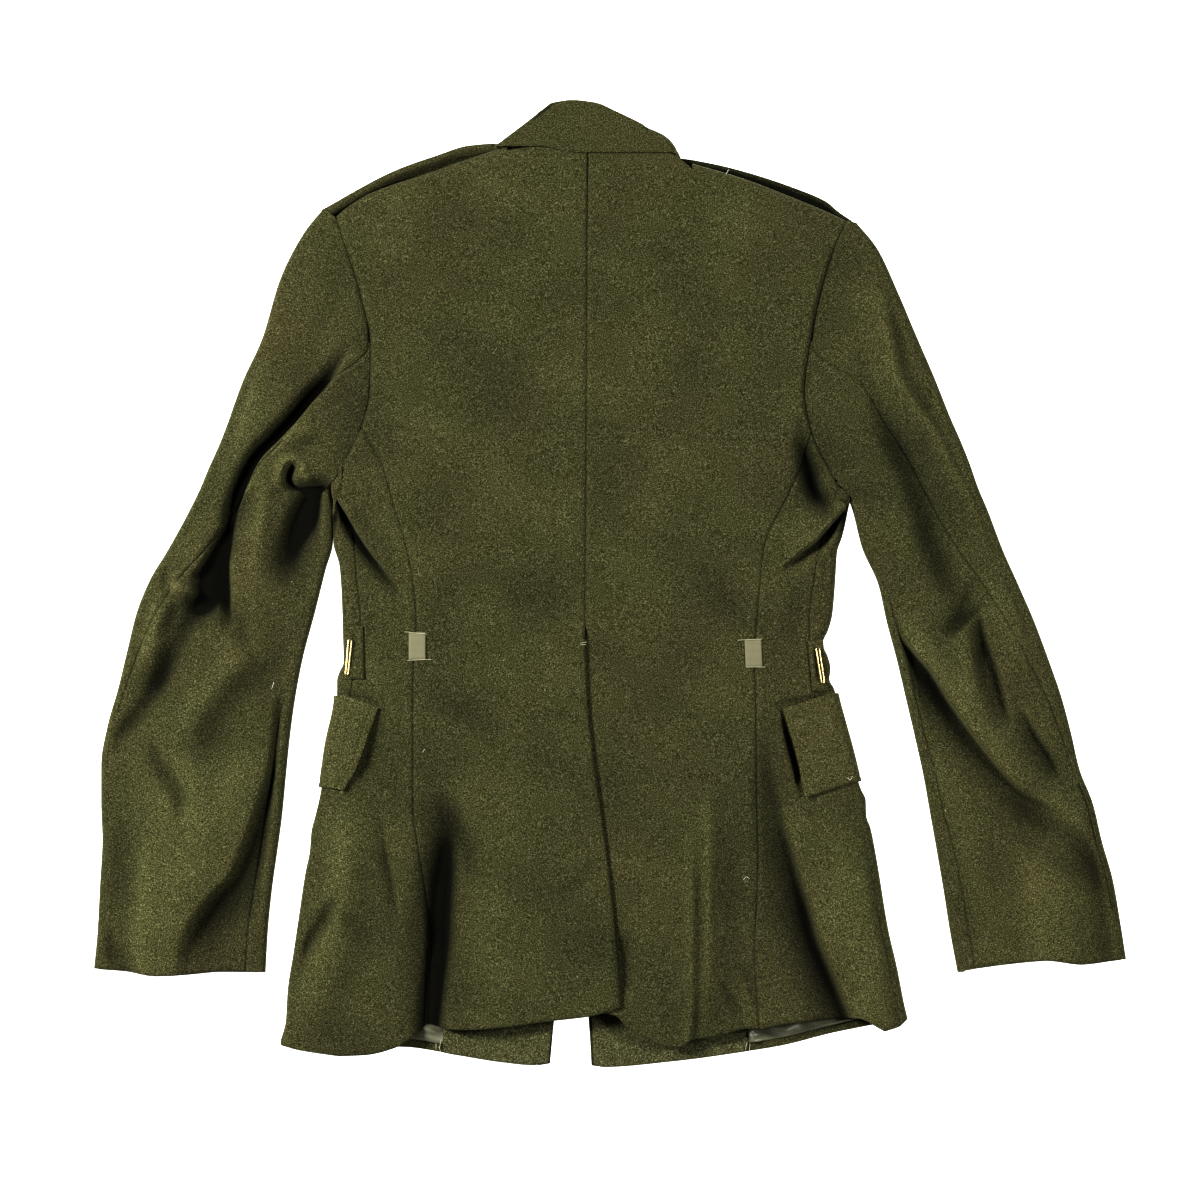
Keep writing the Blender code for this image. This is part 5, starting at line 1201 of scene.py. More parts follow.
def make_top_sleeve(side):
    arc_in = OVER_COLUMNS + SLEEVE_TURN + BELOW_COLUMNS
    columns = arc_in + SLEEVE_TURN + FORE_COLUMNS

    def inner_edge(line, column):
        """The round inner edge and the strip from it to the forearm seam."""
        step = np.minimum(column - arc_in, SLEEVE_TURN)
        points, out = line.ring(-90 + 180 * step / SLEEVE_TURN, True)
        start = line.width - line.reach()[1]
        end = line.fore * line.width
        part = (column - arc_in - SLEEVE_TURN) / FORE_COLUMNS
        distance = lerp(start, end, np.clip(part, 0, 1))
        roll = seam_roll(distance - end) * ramp(line.at, *FORE_SHOWS[side])
        strip, strip_out, fold = line.top(distance, roll)
        flat = part > 0
        points[flat], out[flat] = strip[flat], strip_out[flat]
        return points, out, fold * step / SLEEVE_TURN

    def gusset(line, column):
        """Below the arm the sleeve is closed: its inner edge stands up beside the body."""
        share = (column - arc_in) / (SLEEVE_TURN + FORE_COLUMNS)
        turn = np.radians(90 * share - 90)
        out = line.across * np.cos(turn)[:, None] + np.array(UP) * np.sin(turn)[:, None]
        high = line.top(line.width)[0][:, 2]
        spot = line.spot(line.width)
        spot[:, 2] = lerp(line.low(1.0) - CLOTH / 2, high, share)
        return spot, out

    def place(column, row):
        at = row / SLEEVE_ROWS * LAST_SECTION
        line = SleeveLine(side, at)
        reach_out, reach_in = line.reach()
        start = line.hind_at()
        across = sleeve_spread(OVER_COLUMNS, column, start - reach_out, end=(0,))
        roll = seam_roll(across) * ramp(start, *PLAIN_HIND) + cuff_roll(at)
        points, out, fold = line.top(start - across, roll)
        angle = 90 - 180 * (column - OVER_COLUMNS) / SLEEVE_TURN
        ring, ring_out = line.ring(angle, False)
        turned = (column >= OVER_COLUMNS) & (column < OVER_COLUMNS + SLEEVE_TURN)
        points[turned], out[turned] = ring[turned], ring_out[turned]
        part = (column - OVER_COLUMNS - SLEEVE_TURN) / BELOW_COLUMNS
        end = line.width - reach_in * line.free
        below = line.spot(lerp(reach_out, end, part))
        below[:, 2] = line.low(np.clip(part, 0, 1)) - CLOTH / 2
        under = (column >= OVER_COLUMNS + SLEEVE_TURN) & (column < arc_in)
        under |= (column == arc_in) & (at < JOINED)
        points[under], out[under] = below[under], facing(DOWN, out)[under]
        inner = (column >= arc_in) & (at >= JOINED)
        edge, edge_out, edge_fold = inner_edge(line, column)
        stood, stood_out = gusset(SleeveLine(side, np.full(at.shape, float(JOINED))), column)
        points[inner] = lerp(stood, edge, line.free[:, None])[inner]
        out[inner] = lerp(stood_out, edge_out, line.free[:, None])[inner]
        fold = np.where(column < OVER_COLUMNS, fold, 0)
        return points, out, np.where(inner, edge_fold * line.free, fold)

    def keep(column, row):
        return row > SLEEVE_ROWS / LAST_SECTION * JOINED or column < arc_in

    return cloth(f"top_sleeve_{HANDS[side]}_panel", columns, SLEEVE_ROWS, place, SERGE, keep=keep)


def make_under_sleeve(side):
    rows = round(SLEEVE_ROWS * (LAST_SECTION - UNDER_SLEEVE_START) / LAST_SECTION)

    def place(column, row):
        at = UNDER_SLEEVE_START + row / rows * (LAST_SECTION - UNDER_SLEEVE_START)
        line = SleeveLine(side, at)
        start = line.hind_at()
        closed = line.width - CLOTH * ramp(at, CLOSES_FROM, JOINED)
        wide = lerp(closed, line.fore * line.width, line.free) - start
        across = sleeve_spread(UNDER_SLEEVE_COLUMNS, column, wide)
        narrow = ramp(wide, PLY_ENDS, LEAST_WIDE)
        hind = seam_roll(across) * ramp(start, *PLAIN_HIND)
        fore = seam_roll(wide - across) * ramp(at, *FORE_SHOWS[side])
        roll = (hind + fore) * narrow + cuff_roll(at)
        return line.top(start + across, roll)

    return cloth(f"under_sleeve_{HANDS[side]}_panel", UNDER_SLEEVE_COLUMNS, rows, place, SERGE)


for side in HANDS:
    word = HANDS[side]
    sewn(make_top_sleeve(side), f"top_sleeve_{word}")
    sewn(make_under_sleeve(side), f"under_sleeve_{word}")

# ==== pocket flaps ===========================================================================
# Plain flaps of serge, lined with serge and topstitched 5 mm inside their free edges. Each is
# bent round the side edge with the front, and goes on below it.
FLAP_EDGE = {-1: (-94.0, -171.0), 1: (-92.0, -166.0)}  # y at the side edge, top and bottom
FLAP_SIDE = {
    -1: [(-194, -104), (-200, -120), (-212, -153), (-223, -173)],
    1: [(144, -105), (149, -120), (155, -140), (163, -179)],
}
FLAP_TALL = 76.0
FLAP_WIDE = 44.0
FLAP_ROWS = 66
FLAP_TOP_COLUMNS = 44
FLAP_TURN_COLUMNS = 10
FLAP_UNDER_COLUMNS = 10
STITCH_IN = 5.0
STITCH_DEPTH = 0.55
STITCH_WIDE = 0.8
UNSTITCHED = 99.0  # a row of stitches this far in never shows
FREE_EDGE = (0.6, 0.9)  # drop and reach of a free edge's roll
FLAP_CURL = 1.2  # its free corner stands up
CURL_REACH = (9.0, 7.0)  # from its lower and from its inner edge
FLAP_PAINTED_LIGHT = 2.5  # painted light: its colour is as light as on a ridge this high


def free_roll(distance, stitched=STITCH_IN):
    """A turned and topstitched edge: it rolls down, with a row of stitches inside it."""
    drop, reach = FREE_EDGE
    return (-drop * np.exp(-(distance / reach) ** 2)
            - STITCH_DEPTH * np.exp(-((distance - stitched) / STITCH_WIDE) ** 2))


def make_flap(side):
    y_top, y_bottom = FLAP_EDGE[side]
    inner = FLAP_SIDE[side]
    foot = FLAP_TOP_COLUMNS + FLAP_TURN_COLUMNS

    def place(column, row):
        down = spread(FLAP_ROWS, FLAP_TALL)(row) / FLAP_TALL
        y = lerp(y_top, y_bottom, down)
        bottom = FLAP_TALL * (1 - down)
        angle = 90 - 180 * (column - FLAP_TOP_COLUMNS) / FLAP_TURN_COLUMNS
        lift = PLY + CLOTH / 2 + free_roll(bottom)
        points, out = side_ring(side, y, angle)
        points += out * lift[:, None]
        below = side_ring(side, y, -90.0)[0][:, 0]
        part = (column - foot) / FLAP_UNDER_COLUMNS
        flat = stack(below - side * FLAP_REACH * part, y, 0)
        under = column >= foot
        points[under], out[under] = flat[under], facing(DOWN, out)[under]
        tangent = side_ring(side, y, 90.0)[0][:, 0]
        inner_y = lerp(inner[0][1], inner[-1][1], down)
        inner_x = at_y(inner, inner_y)
        wide = abs(tangent - inner_x)
        part = spread(FLAP_TOP_COLUMNS, FLAP_WIDE, end=(0,))(column) / FLAP_WIDE
        x, y = lerp(inner_x, tangent, part), lerp(inner_y, y, part)
        roll = free_roll(wide * part) + free_roll(bottom)
        curl = np.exp(-bottom / CURL_REACH[0]) + np.exp(-wide * part / CURL_REACH[1])
        curl *= FLAP_CURL * down * (1 - part)
        body = body_lay(side, x, y)
        height = body[0] - np.minimum(body[3], 0) + PLY + CLOTH / 2 + curl + roll
        upper = column < FLAP_TOP_COLUMNS
        points[upper] = stack(x, y, height)[upper]
        out[upper] = facing(UP, out)[upper]
        # the whole flap is painted lighter, as a ridge
        return points, out, np.full(y.shape, FLAP_PAINTED_LIGHT)

    return cloth(f"flap_{HANDS[side]}_cloth", foot + FLAP_UNDER_COLUMNS, FLAP_ROWS, place, SERGE)


for side in HANDS:
    sewn(make_flap(side), f"pocket_flap_{HANDS[side]}")

# ==== collar =================================================================================
# One band of serge, sewn to the neck. It stands up and falls over at its fold, and is pressed
# flat, with a round turn at each side. Its fall is stitched 7 mm above the edge.
Station = namedtuple("Station", "fold_x fold_y fall_x fall_y seam_x seam_y angle")
COLLAR = [
    Station(-34, 308, -106, 289, -59, 309, -90),
    Station(-42, 330, -112, 322, -69.5, 330, -90),
    Station(-50, 396, -97, 361, -83, 365, -90),
    Station(-50, 398, -98, 363, -84, 367, -45),
    Station(-50, 400, -98, 365, -85, 369, 0),
    Station(-50, 401, -97, 366, -85, 369, 45),
    Station(-50, 402, -95, 366, -84, 368, 90),
    Station(-32, 405, -60, 366, -58, 369, 90),
    Station(-13, 403, -27, 361, -26, 368, 90),
    Station(6, 395, 12, 361, 12, 368, 90),
    Station(28, 384, 50, 361, 50, 364, 90),
    Station(28, 383, 58, 357, 55, 361, 45),
    Station(28, 382, 60, 355, 58, 358, 0),
    Station(28, 380, 60, 353, 60, 355, -45),
    Station(28, 378, 58, 351, 61, 352, -90),
    Station(16, 330, 84, 322, 53, 328, -90),
    Station(8, 306, 86, 288, 39, 308, -90),
]
COLLAR_MIDDLE = -18.0
COLLAR_TOP = 12.6  # middle of its fall over the table
FOLD_RADIUS = PLY / 2
COLLAR_COLUMNS = 192
COLLAR_STAND_ROWS = 5
COLLAR_FOLD_ROWS = 6
COLLAR_FALL_ROWS = 34
COLLAR_STITCH = 7.0
COLLAR_BOW = 6.0  # the fall bows out where it turns over at the right
COLLAR_BOW_AT = (11.6, 1.7)  # station and reach


def collar_place(column, row):
    table = np.array(COLLAR, float)
    knots = np.arange(len(table))
    at = column / COLLAR_COLUMNS * knots[-1]
    fold_x, fold_y, fall_x, fall_y, seam_x, seam_y, angle = (
        hermite(knots, table[:, key], at) for key in range(7))
    fold, fall, seam = stack(fold_x, fold_y, 0), stack(fall_x, fall_y, 0), stack(seam_x, seam_y, 0)
    across = (fall + seam) / 2 - fold
    across /= np.linalg.norm(across, axis=1)[:, None]
    aside = stack(across[:, 1], -across[:, 0], 0)
    aside *= np.where(aside[:, 0] * (fall_x - COLLAR_MIDDLE) < 0, -1, 1)[:, None]
    turn = np.radians(angle)[:, None]
    out = aside * np.cos(turn) + np.array(UP) * np.sin(turn)
    stand = (COLLAR_TOP - ON_TABLE - PLY) / 2
    inset = aside * (stand + PLY + CLOTH / 2) * -np.cos(turn)
    rise = np.array((0, 0, ON_TABLE + PLY + stand))
    tip = fold + across * (FOLD_RADIUS + CLOTH / 2) + inset + rise
    first = (row / COLLAR_STAND_ROWS)[:, None]
    points = lerp(seam + inset + rise, tip, first) + out * (stand - CLOTH / 2)
    facing_out = -out
    bend = np.pi * ((row - COLLAR_STAND_ROWS) / COLLAR_FOLD_ROWS)[:, None]
    round_out = -out * np.cos(bend) - across * np.sin(bend)
    folded = tip + out * (stand + FOLD_RADIUS) + round_out * (FOLD_RADIUS + CLOTH / 2)
    turned = row > COLLAR_STAND_ROWS
    points[turned], facing_out[turned] = folded[turned], round_out[turned]
    top = tip + out * (stand + PLY)
    edge = fall + inset + rise + out * (stand + PLY)
    length = np.linalg.norm(edge - top, axis=1)
    fall_row = np.maximum(row - COLLAR_STAND_ROWS - COLLAR_FOLD_ROWS, 0)
    down = spread(COLLAR_FALL_ROWS, length, start=(0,))(fall_row)
    part = (down / length)[:, None]
    roll = (free_roll(length - down, COLLAR_STITCH) + CLOTH / 2)[:, None]
    bow = COLLAR_BOW * np.exp(-((at - COLLAR_BOW_AT[0]) / COLLAR_BOW_AT[1]) ** 2)[:, None]
    laid = lerp(top, edge, part) + out * roll + aside * bow * np.sin(np.pi * part)
    fallen = row > COLLAR_STAND_ROWS + COLLAR_FOLD_ROWS
    points[fallen], facing_out[fallen] = laid[fallen], out[fallen]
    return points, facing_out


collar = cloth("collar_cloth", COLLAR_COLUMNS, COLLAR_STAND_ROWS + COLLAR_FOLD_ROWS + COLLAR_FALL_ROWS,
               collar_place, SERGE)
sewn(collar, "collar")

# ==== lapels and shoulder straps =============================================================
# The fronts' upper parts are turned back at the roll line and lie face down. The straps are
# double serge, sewn in at the sleeve heads, and show as a strip past the shoulder edges.
LAPEL_ROLL = {-1: [(-54, 296), (-23.4, 242)], 1: [(32, 296), (-10.3, 242)]}
LAPEL_OUTER = {-1: [(-118, 268), (-80, 250), (-30, 240)], 1: [(94, 268), (50, 250), (-3, 240)]}
LAPEL_TURN_COLUMNS = 6
LAPEL_COLUMNS = 20
LAPEL_ROWS = 24


def make_lapel(side):
    roll_line, outer = LAPEL_ROLL[side], LAPEL_OUTER[side]

    def place(column, row):
        part = row / LAPEL_ROWS
        y = lerp(*(float(end[1]) for end in roll_line), part)
        x = at_y(roll_line, y)
        radius = (under_middle(side, x, y) - ON_TABLE) / 2
        turn = np.radians(90 - 180 * np.minimum(column / LAPEL_TURN_COLUMNS, 1))
        out = stack(-side * np.cos(turn), 0, np.sin(turn))
        points = stack(x, y, ON_TABLE + radius) + out * radius[:, None]
        end_y = lerp(float(outer[0][1]), float(outer[-1][1]), part)
        end = stack(at_y(outer, end_y), end_y, ON_TABLE)
        away = np.maximum(column - LAPEL_TURN_COLUMNS, 0) / LAPEL_COLUMNS
        return lerp(points, end, away[:, None]) + out * CLOTH / 2, out

    return cloth(f"lapel_{HANDS[side]}_cloth", LAPEL_TURN_COLUMNS + LAPEL_COLUMNS, LAPEL_ROWS, place, SERGE)


STRAP_L = [
    (-242, 313), (-238, 315), (-217, 327), (-188, 342.5), (-169, 350.5), (-147, 358), (-118, 367),
    (-98, 368.5), (-88, 368),
]
STRAP_R = [
    (203, 304), (192, 311.5), (181, 320.5), (154, 332), (118, 344), (89, 351.5), (64, 356), (54, 357),
]
STRAP_HIDDEN = {-1: [(-220, 272), (-124, 316)], 1: [(187, 261), (100, 304)]}
STRAP_CLOTH = 2.2
STRAP_SHOWS = 8.0  # width of the strip that shows
STRAP_RISE = {-1: 9.0, 1: 3.5}  # it stands off the table by this
STRAP_PAINTED_SHADE = {-1: 0.0, 1: 5.0}  # and is painted dark, as the shade of the shoulder, like a fold this deep
STRAP_DARKER = (1.4, 4.5)  # the painted shade grows by this share of it, over this distance
STRAP_STITCH = 4.0
STRAP_COLUMNS = 60
STRAP_ROWS = 22


def make_strap(side):
    line = hand(side, STRAP_L, STRAP_R)
    hidden = STRAP_HIDDEN[side]

    def place(column, row):
        x = lerp(float(line[0][0]), float(line[-1][0]), column / STRAP_COLUMNS)
        edge = stack(x, outline(line, x), 0)
        other = stack(*(lerp(*ends, column / STRAP_COLUMNS) for ends in zip(*hidden)), 0)
        points = lerp(edge, other, (row / STRAP_ROWS)[:, None])
        inside = np.linalg.norm(points - edge, axis=1)
        rise = STRAP_RISE[side] * np.exp(-(inside / STRAP_SHOWS) ** 8)
        points[:, 2] = STRAP_CLOTH + rise + free_roll(inside, STRAP_STITCH)
        # painted shade from the shoulder, darker further under it
        more, reach = STRAP_DARKER
        shade = STRAP_PAINTED_SHADE[side] * (1 + more * np.minimum(inside / reach, 1) ** 2)
        return points, facing(UP, x), -shade

    return cloth(f"strap_{HANDS[side]}_cloth", STRAP_COLUMNS, STRAP_ROWS, place, SERGE, STRAP_CLOTH)


for side in HANDS:
    sewn(make_lapel(side), f"lapel_{HANDS[side]}")
    sewn(make_strap(side), f"shoulder_strap_{HANDS[side]}")

# ==== facings and lining =====================================================================
# Inside the fronts, past the backs' hems: wool facings along the front edges, then a thin
# satin lining with loose small folds, caught down by a few stitches at the hem.
LINING_SHORT = 7.0  # the lining ends this far above the hem
FACING_SEAM = (-140.0, 116.0)  # x of each facing's seam with the lining
LINING_END = (-226.0, 226.0)  # x where the built part of the lining ends
SATIN_CLOTH = 1.0
FACING_COLUMNS = 44
LINING_COLUMNS = 60
INSIDE_ROWS = 44
LINING_CREASES = [
    ridge(2.6, 3, [(-160.5, -370, 0), (-156, -373.5, 1), (-149.5, -376, 0.7), (-142, -378.5, 0)]),
    ridge(2.0, 2.5, [(-164.5, -378.5, 0), (-156, -380, 1), (-144.5, -384.5, 0.5)]),
    ridge(2.8, 3, [(110, -375, 0.4), (117.5, -380, 1), (124.5, -388.5, 0.6)]),
    ridge(3.0, 3.5, [(127.5, -370, 0.3), (136, -373.5, 1), (146, -375, 1), (154.5, -371.5, 0.4)]),
    trough(1.6, 2.5, [(112.5, -383.5, 0.4), (126, -378.5, 1), (139.5, -380, 0.5)]),
    ridge(1.6, 3, [(159.5, -365, 0.3), (176.5, -371.5, 1), (193, -370, 0.4)]),
]


def make_inside(name, side, near, far, columns, short, finish, thickness, creases):
    """A wall on the inner face of a front, from x = near to x = far, this short of the hem."""
    hem = hand(side, HEM_UNDER_L, HEM_UNDER_R)

    def place(column, row):
        wide = abs(far - near(INSIDE_TOP))
        part = spread(columns, wide)(column) / wide
        foot = outline(hem, lerp(near(INSIDE_TOP), far, part)) + short
        up = spread(INSIDE_ROWS, INSIDE_TOP - foot)(INSIDE_ROWS - row)
        y = foot + up
        x = lerp(near(y), far, part)
        edge = np.minimum(wide * part, wide * (1 - part))
        dip = free_roll(up, UNSTITCHED) + free_roll(edge, UNSTITCHED)
        ripple = crease_lay(x, y, creases)[0]
        return stack(x, y, under_middle(side, x, y) + PLY + thickness / 2 + dip + ripple), facing(UP, x)

    return cloth(name, columns, INSIDE_ROWS, place, finish, thickness)


def satin(name, dark, bright):
    """Thin filament twill: fine slanted ribs and a soft shine that breaks up on the folds."""
    made, tree, shader = new_material(name)
    place = add_node(tree, "TexCoord", {}).outputs["Object"]
    ribs = add_node(tree, "TexWave", {"Vector": place, "Scale": 420, "Distortion": 0.6},
                    bands_direction="DIAGONAL")
    cloud = add_node(tree, "TexNoise", {"Vector": place, "Scale": 60, "Detail": 3})
    bump = add_node(tree, "Bump", {"Height": ribs.outputs["Fac"], "Strength": 0.25, "Distance": 0.0003})
    set_sockets(tree, shader, {"Base Color": mixed(tree, cloud.outputs["Fac"], (*dark, 1), (*bright, 1)),
                               "Normal": bump.outputs["Normal"], "Roughness": 0.42, "Sheen Weight": 0.2})
    return made


SATIN = satin("satin_lining", (0.07, 0.068, 0.043), (0.17, 0.17, 0.113))
# The facings are the same serge, painted lighter to make up for the shade that they lie in below the backs.
FACING_SERGE_PAINTED_LIGHTER = wool("facing_wool", (0.018, 0.018, 0.007), (0.072, 0.071, 0.031), (0.27, 0.27, 0.17),
                   (0.058, 0.052, 0.024))
for side in HANDS:
    word = HANDS[side]
    front_edge = hand(side, FRONT_EDGE_L, FRONT_EDGE_R)
    seam, end = hand(side, *FACING_SEAM), hand(side, *LINING_END)
    piece = make_inside(f"facing_{word}_cloth", side, lambda y: at_y(front_edge, y), seam,
                        FACING_COLUMNS, 0.0, FACING_SERGE_PAINTED_LIGHTER, CLOTH, [])
    sewn(piece, f"facing_{word}")
    piece = make_inside(f"lining_{word}_cloth", side, lambda y: seam + 0 * y, end,
                        LINING_COLUMNS, LINING_SHORT, SATIN, SATIN_CLOTH, LINING_CREASES)
    sewn(piece, f"lining_{word}")

# ==== waist: belt loops and hook guards ======================================================
# A short rep ribbon lies over each side-back seam, and a cloth guard at each side edge has the
# slot that the belt hook comes through.
Patch = namedtuple("Patch", "name node x0 y0 x1 y1 width thickness lift")
LOOP_CLOTH = 1.0
LOOP_LIFT = 1.7  # underside of the ribbon over the middle of the cloth below it
LOOPS = [
    Patch("loop_left_ribbon", "belt_loop_left", -161.5, -41, -161.5, -64, 14, LOOP_CLOTH, LOOP_LIFT),
    Patch("loop_right_ribbon", "belt_loop_right", 119.5, -47, 120.5, -70, 14, LOOP_CLOTH, LOOP_LIFT),
]
GUARDS = [
    Patch("guard_left_cloth", "hook_patch_left", -213.5, -36, -212.5, -80, 13, CLOTH, PLY),
    Patch("guard_right_cloth", "hook_patch_right", 172, -48, 176, -90, 13, CLOTH, PLY),
]
RIBBON_END = (0.6, 1.2)  # drop and reach of its end and of its long edge
RIBBON_SIDE = (0.3, 0.6)
SLOT = (2.4, 15.0, 1.6)  # the guard dips at its slot: half width, half length, depth
GUARD_EDGE = (0.8, 0.9)  # drop and reach of its turned edge
PATCH_COLUMNS = 18
PATCH_ROWS = 36


def make_patch(patch, finish, dip):
    side = side_at(patch.x0)
    top, bottom = np.array((patch.x0, patch.y0)), np.array((patch.x1, patch.y1))
    long = float(np.hypot(*(bottom - top)))
    run = (bottom - top) / long
    aside = np.array((-run[1], run[0]))

    def place(column, row):
        across = spread(PATCH_COLUMNS, patch.width)(column)
        down = spread(PATCH_ROWS, long)(row)
        spot = top + run * down[:, None] + aside * (across - patch.width / 2)[:, None]
        height = body_lay(side, spot[:, 0], spot[:, 1])[0] + patch.lift + patch.thickness / 2
        height += dip(across - patch.width / 2, down - long / 2, patch.width, long)
        return stack(spot[:, 0], spot[:, 1], height), facing(UP, across)

    return cloth(patch.name, PATCH_COLUMNS, PATCH_ROWS, place, finish, patch.thickness)


def edge_dip(drop, reach, distance):
    return -drop * np.exp(-(distance / reach) ** 2)


def ribbon_edge(across, down, width, long):
    """The ribbon is caught down at its two ends."""
    return edge_dip(*RIBBON_END, long / 2 - abs(down)) + edge_dip(*RIBBON_SIDE, width / 2 - abs(across))


def slot_dip(across, down, width, long):
    """The guard's edges are turned under, and its slot lies open along the middle."""
    inside = np.exp(-(across / SLOT[0]) ** 4) * np.exp(-(down / SLOT[1]) ** 6)
    edge = np.minimum(width / 2 - abs(across), long / 2 - abs(down))
    return edge_dip(*GUARD_EDGE, edge) - SLOT[2] * inside


def rep(name, dark, bright):
    """Ribbon with fine ribs across it."""
    made, tree, shader = new_material(name)
    place = add_node(tree, "TexCoord", {}).outputs["Object"]
    ribs = add_node(tree, "TexWave", {"Vector": place, "Scale": 330, "Distortion": 0.4},
                    bands_direction="Y").outputs["Fac"]
    bump = add_node(tree, "Bump", {"Height": ribs, "Strength": 0.5, "Distance": 0.0003})
    set_sockets(tree, shader, {"Base Color": mixed(tree, ribs, (*dark, 1), (*bright, 1)),
                               "Normal": bump.outputs["Normal"], "Roughness": 0.7})
    return made


RIBBON = rep("rep_ribbon", (0.115, 0.11, 0.068), (0.21, 0.20, 0.127))
for patch in LOOPS:
    word = HANDS[side_at(patch.x0)]
    sewn(make_patch(patch, RIBBON, ribbon_edge), patch.node)
for patch in GUARDS:
    word = HANDS[side_at(patch.x0)]
    sewn(make_patch(patch, SERGE, slot_dip), patch.node)

# ==== belt hooks =============================================================================
# Each hook shows as a doubled brass wire, bent round at its ends, that stands in its slot.
Hook = namedtuple("Hook", "name node x0 y0 x1 y1")
HOOKS = [
    Hook("hook_left_wire", "belt_hook_left", -217.5, -46, -220.5, -78),
    Hook("hook_right_wire", "belt_hook_right", 173.5, -53, 178.5, -85),
]
WIRE_RADIUS = 0.8
WIRE_APART = 2.5
WIRE_SIDES = 3  # its roundness
HOOK_RISE = 3.3  # middle of the wire over the highest cloth below it
HOOK_STEPS = 7  # points round each end
BRASS_BRIGHT = (0.66, 0.56, 0.33)
BRASS_DULL = (0.40, 0.33, 0.17)


def wire(name, paths, radius, finish, node=None, closed=False):
    """Round wires or threads along these paths of (x, y, z), as one piece."""
    line = bpy.data.curves.new(name, "CURVE")
    line.dimensions = "3D"
    line.bevel_depth = radius * MM
    line.bevel_resolution = WIRE_SIDES
    line.use_fill_caps = True
    for path in paths:
        spline = line.splines.new("POLY")
        spline.points.add(len(path) - 1)
        spline.use_cyclic_u = closed
        for point, (x, y, z) in zip(spline.points, path):
            point.co = (x * MM, y * MM, z * MM, 1)
    shape = bpy.data.objects.new(name + "_line", line)
    mesh = bpy.data.meshes.new_from_object(shape)
    bpy.data.objects.remove(shape)
    mesh.name = name
    mesh.materials.clear()
    mesh.materials.append(finish)
    mesh.shade_smooth()
    fastened(put_in_scene(name, mesh), node)


def brass(name):
    """Brass with a little tarnish in patches."""
    made, tree, shader = new_material(name)
    place = add_node(tree, "TexCoord", {}).outputs["Object"]
    cloud = add_node(tree, "TexNoise", {"Vector": place, "Scale": 350, "Detail": 4}).outputs["Fac"]
    rough = add_node(tree, "MapRange", {"Value": cloud, "To Min": 0.22, "To Max": 0.50})
    set_sockets(tree, shader, {"Base Color": mixed(tree, cloud, (*BRASS_BRIGHT, 1), (*BRASS_DULL, 1)),
                               "Roughness": rough.outputs["Result"], "Metallic": 1.0})
    return made


BRASS = brass("brass")
for hook in HOOKS:
    side = side_at(hook.x0)
    ends = np.array([(hook.x0, hook.y0), (hook.x1, hook.y1)], float)
    run = (ends[1] - ends[0]) / np.hypot(*(ends[1] - ends[0]))
    aside = np.array((-run[1], run[0])) * WIRE_APART / 2
    high = float(body_lay(side, ends[:, 0], ends[:, 1])[0].max()) + CLOTH / 2 + HOOK_RISE
    loop = []
    for end, way in ((ends[0] + run * WIRE_APART, -1), (ends[1] - run * WIRE_APART, 1)):
        for angle in np.radians(np.linspace(-90, 90, HOOK_STEPS)):
            spot = end + way * (run * math.cos(angle) * WIRE_APART / 2 + aside * math.sin(angle))
            loop.append((*spot, high))
    wire(hook.name, [loop], WIRE_RADIUS, BRASS, hook.node, closed=True)

# ==== buttons ================================================================================
# Four plain domed brass buttons close the fronts. Their faces lie on the table.
BUTTON_X = -18.0
BUTTON_YS = (200.0, 121.0, 41.0, -39.0)
BUTTON_RADIUS = 10.0
BUTTON_HEIGHT = 4.2
BUTTON_STEPS = 64
BUTTON_WELD = 0.01
BUTTON_SHARP = math.radians(45)
BUTTON_PROFILE = [  # radius and height over the table, as shares of the button's own
    (0.0, 0.0), (0.22, 0.015), (0.45, 0.06), (0.64, 0.145), (0.8, 0.27), (0.91, 0.40), (0.98, 0.54),
    (1.0, 0.62), (0.985, 0.70), (0.93, 0.74), (0.3, 0.70), (0.26, 0.74), (0.25, 1.0), (0.0, 1.0),
]


def make_button(name, y):
    bm = bmesh.new()
    verts = [bm.verts.new((BUTTON_RADIUS * r * MM, 0, BUTTON_HEIGHT * z * MM)) for r, z in BUTTON_PROFILE]
    edges = [bm.edges.new(pair) for pair in zip(verts, verts[1:])]
    bmesh.ops.spin(bm, geom=verts + edges, axis=(0, 0, 1), cent=(0, 0, 0), angle=2 * math.pi,
                   steps=BUTTON_STEPS, use_merge=True)
    bmesh.ops.remove_doubles(bm, verts=bm.verts, dist=BUTTON_WELD * MM)
    bmesh.ops.recalc_face_normals(bm, faces=bm.faces)
    bmesh.ops.translate(bm, verts=bm.verts, vec=(BUTTON_X * MM, y * MM, 0))
    mesh = bpy.data.meshes.new(name)
    bm.to_mesh(mesh)
    bm.free()
    mesh.materials.append(BRASS)
    mesh.shade_smooth()
    mesh.set_sharp_from_angle(angle=BUTTON_SHARP)
    return put_in_scene(name, mesh)


for number, y in enumerate(BUTTON_YS, 1):
    fastened(make_button(f"button_{number}_brass", y), f"button_{number}")

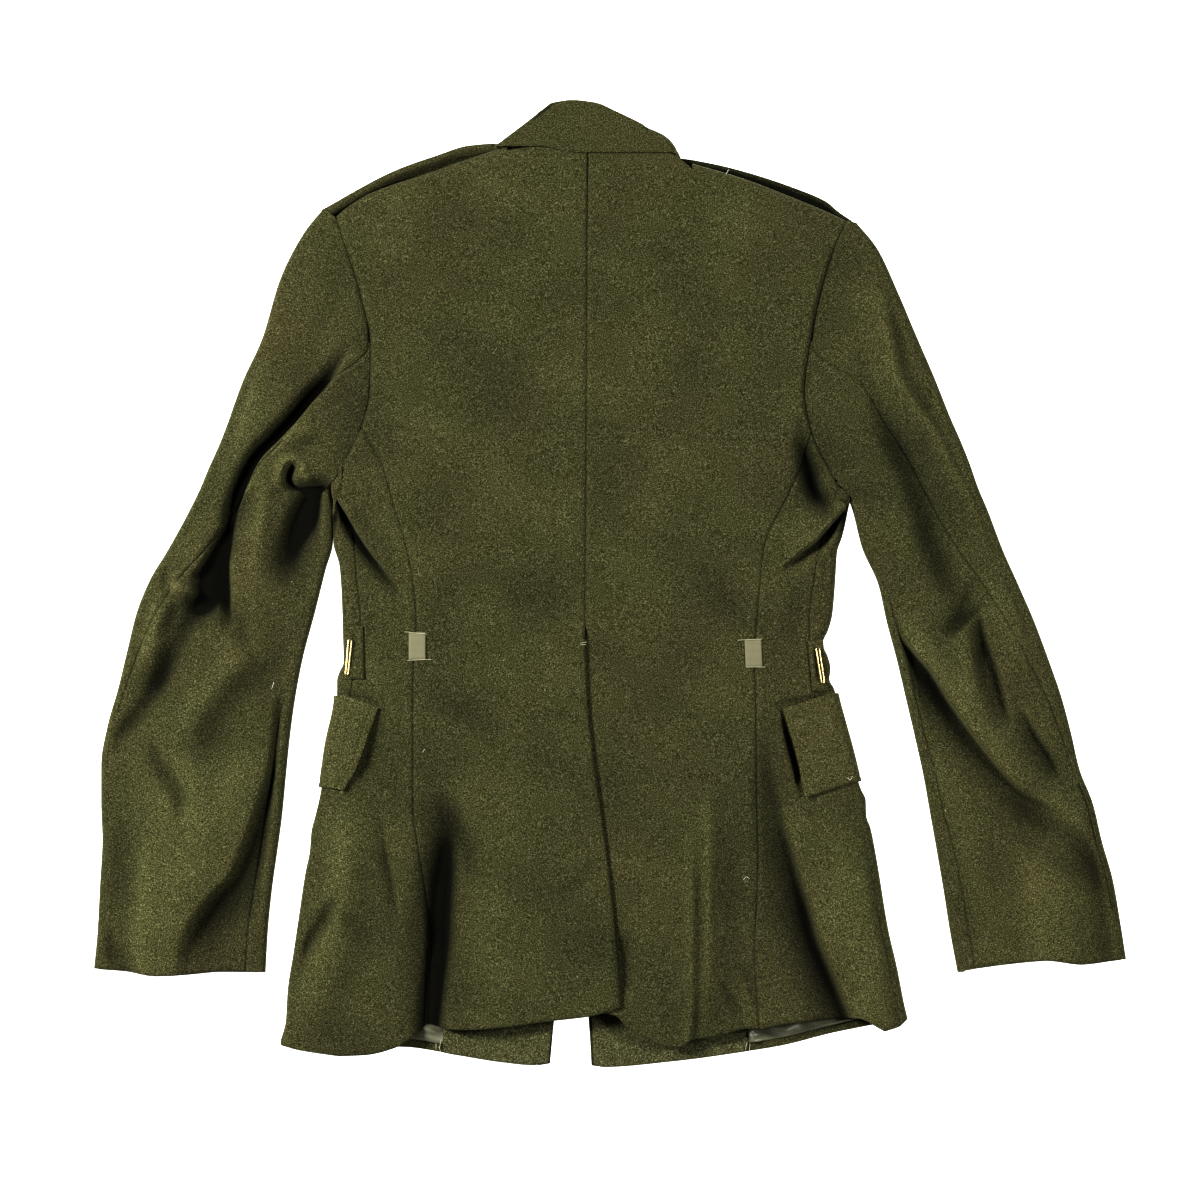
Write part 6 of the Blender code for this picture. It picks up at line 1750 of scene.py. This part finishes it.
# ==== stitches and lint ======================================================================
# Light thread shows at the ends of the ribbon loops, at the vent's bar tack and where the
# lining is caught down. A few pale lint fibres lie on the cloth.
THREAD_RADIUS = 0.2
LINT_RADIUS = 0.11
THREAD_OVER = 0.25  # middle of a thread over the cloth below it
LOOP_THREAD_OVER = LOOP_CLOTH + THREAD_OVER + 0.5
LINING_THREAD_OVER = PLY + CLOTH / 2 + 0.7  # over the middle of the front
LINT_POINTS = 4
LOOP_THREADS = [  # (x, y) ends over each ribbon
    [(-172, -40.5), (-153, -42.5)], [(-169.5, -64.5), (-149.5, -63.5)], [(106.5, -47.5), (127.5, -46.5)],
    [(113.5, -70), (130, -70)],
]
TACK_THREADS = [[(-25, -50), (-19.5, -49)], [(-24.5, -51.5), (-20, -51)]]
LINT = [
    [(-157, -141.5), (-155, -138.5)], [(280.5, -189.5), (281, -191)], [(244, -64.5), (244.5, -66)],
    [(111.5, -248), (114, -245.5)], [(114, -245.5), (116.5, -247)], [(-27.5, -328), (-27.5, -329.5)],
    [(-283.5, -88.5), (-281.5, -82.5)], [(97, 342.5), (99.5, 347)], [(-266.5, 2), (-266.5, 1)],
]
FLAP_LINT = [[(198.5, -162.5), (201, -164.5)], [(201, -164.5), (203, -161.5)]]
FLAP_LINT_OVER = PLY + CLOTH + 0.4
WHIP_STITCHES = [
    [(-146, -386), (-146, -391)], [(-142, -383.5), (-143, -389.5)], [(-143.5, -388.5), (-142, -393.5)],
    [(115, -385), (113.5, -391)], [(117.5, -386), (117, -392.5)],
]


def plain(name, colour, roughness):
    made, _, shader = new_material(name)
    shader.inputs["Base Color"].default_value = (*colour, 1)
    shader.inputs["Roughness"].default_value = roughness
    return made


def thread_over(ends, lift, points=9, on_front=False):
    """A thread between these ends, this far over the top ply, or over the middle of a front."""
    start, end = np.array(ends, float)
    spot = lerp(start, end, np.linspace(0, 1, points)[:, None])
    side = side_at(start[0] - CENTRE[0][0])
    if on_front:
        level = under_middle(side, spot[:, 0], spot[:, 1])
    else:
        level = body_lay(side, spot[:, 0], spot[:, 1])[0] + CLOTH / 2
    return [(x, y, z + lift) for (x, y), z in zip(spot, level)]


COTTON = plain("pale_thread", (0.42, 0.41, 0.30), 0.8)
WHITE_LINT = plain("white_lint", (0.75, 0.75, 0.70), 0.9)
for name, threads, lift, on_front in (
        ("loop_stitches", LOOP_THREADS, LOOP_THREAD_OVER, False),
        ("vent_tack", TACK_THREADS, THREAD_OVER, False),
        ("lining_stitches", WHIP_STITCHES, LINING_THREAD_OVER, True)):
    wire(name, [thread_over(ends, lift, on_front=on_front) for ends in threads], THREAD_RADIUS, COTTON)
lint = [thread_over(ends, THREAD_OVER, LINT_POINTS) for ends in LINT]
lint += [thread_over(ends, FLAP_LINT_OVER, LINT_POINTS) for ends in FLAP_LINT]
wire("lint_fibres", lint, LINT_RADIUS, WHITE_LINT)
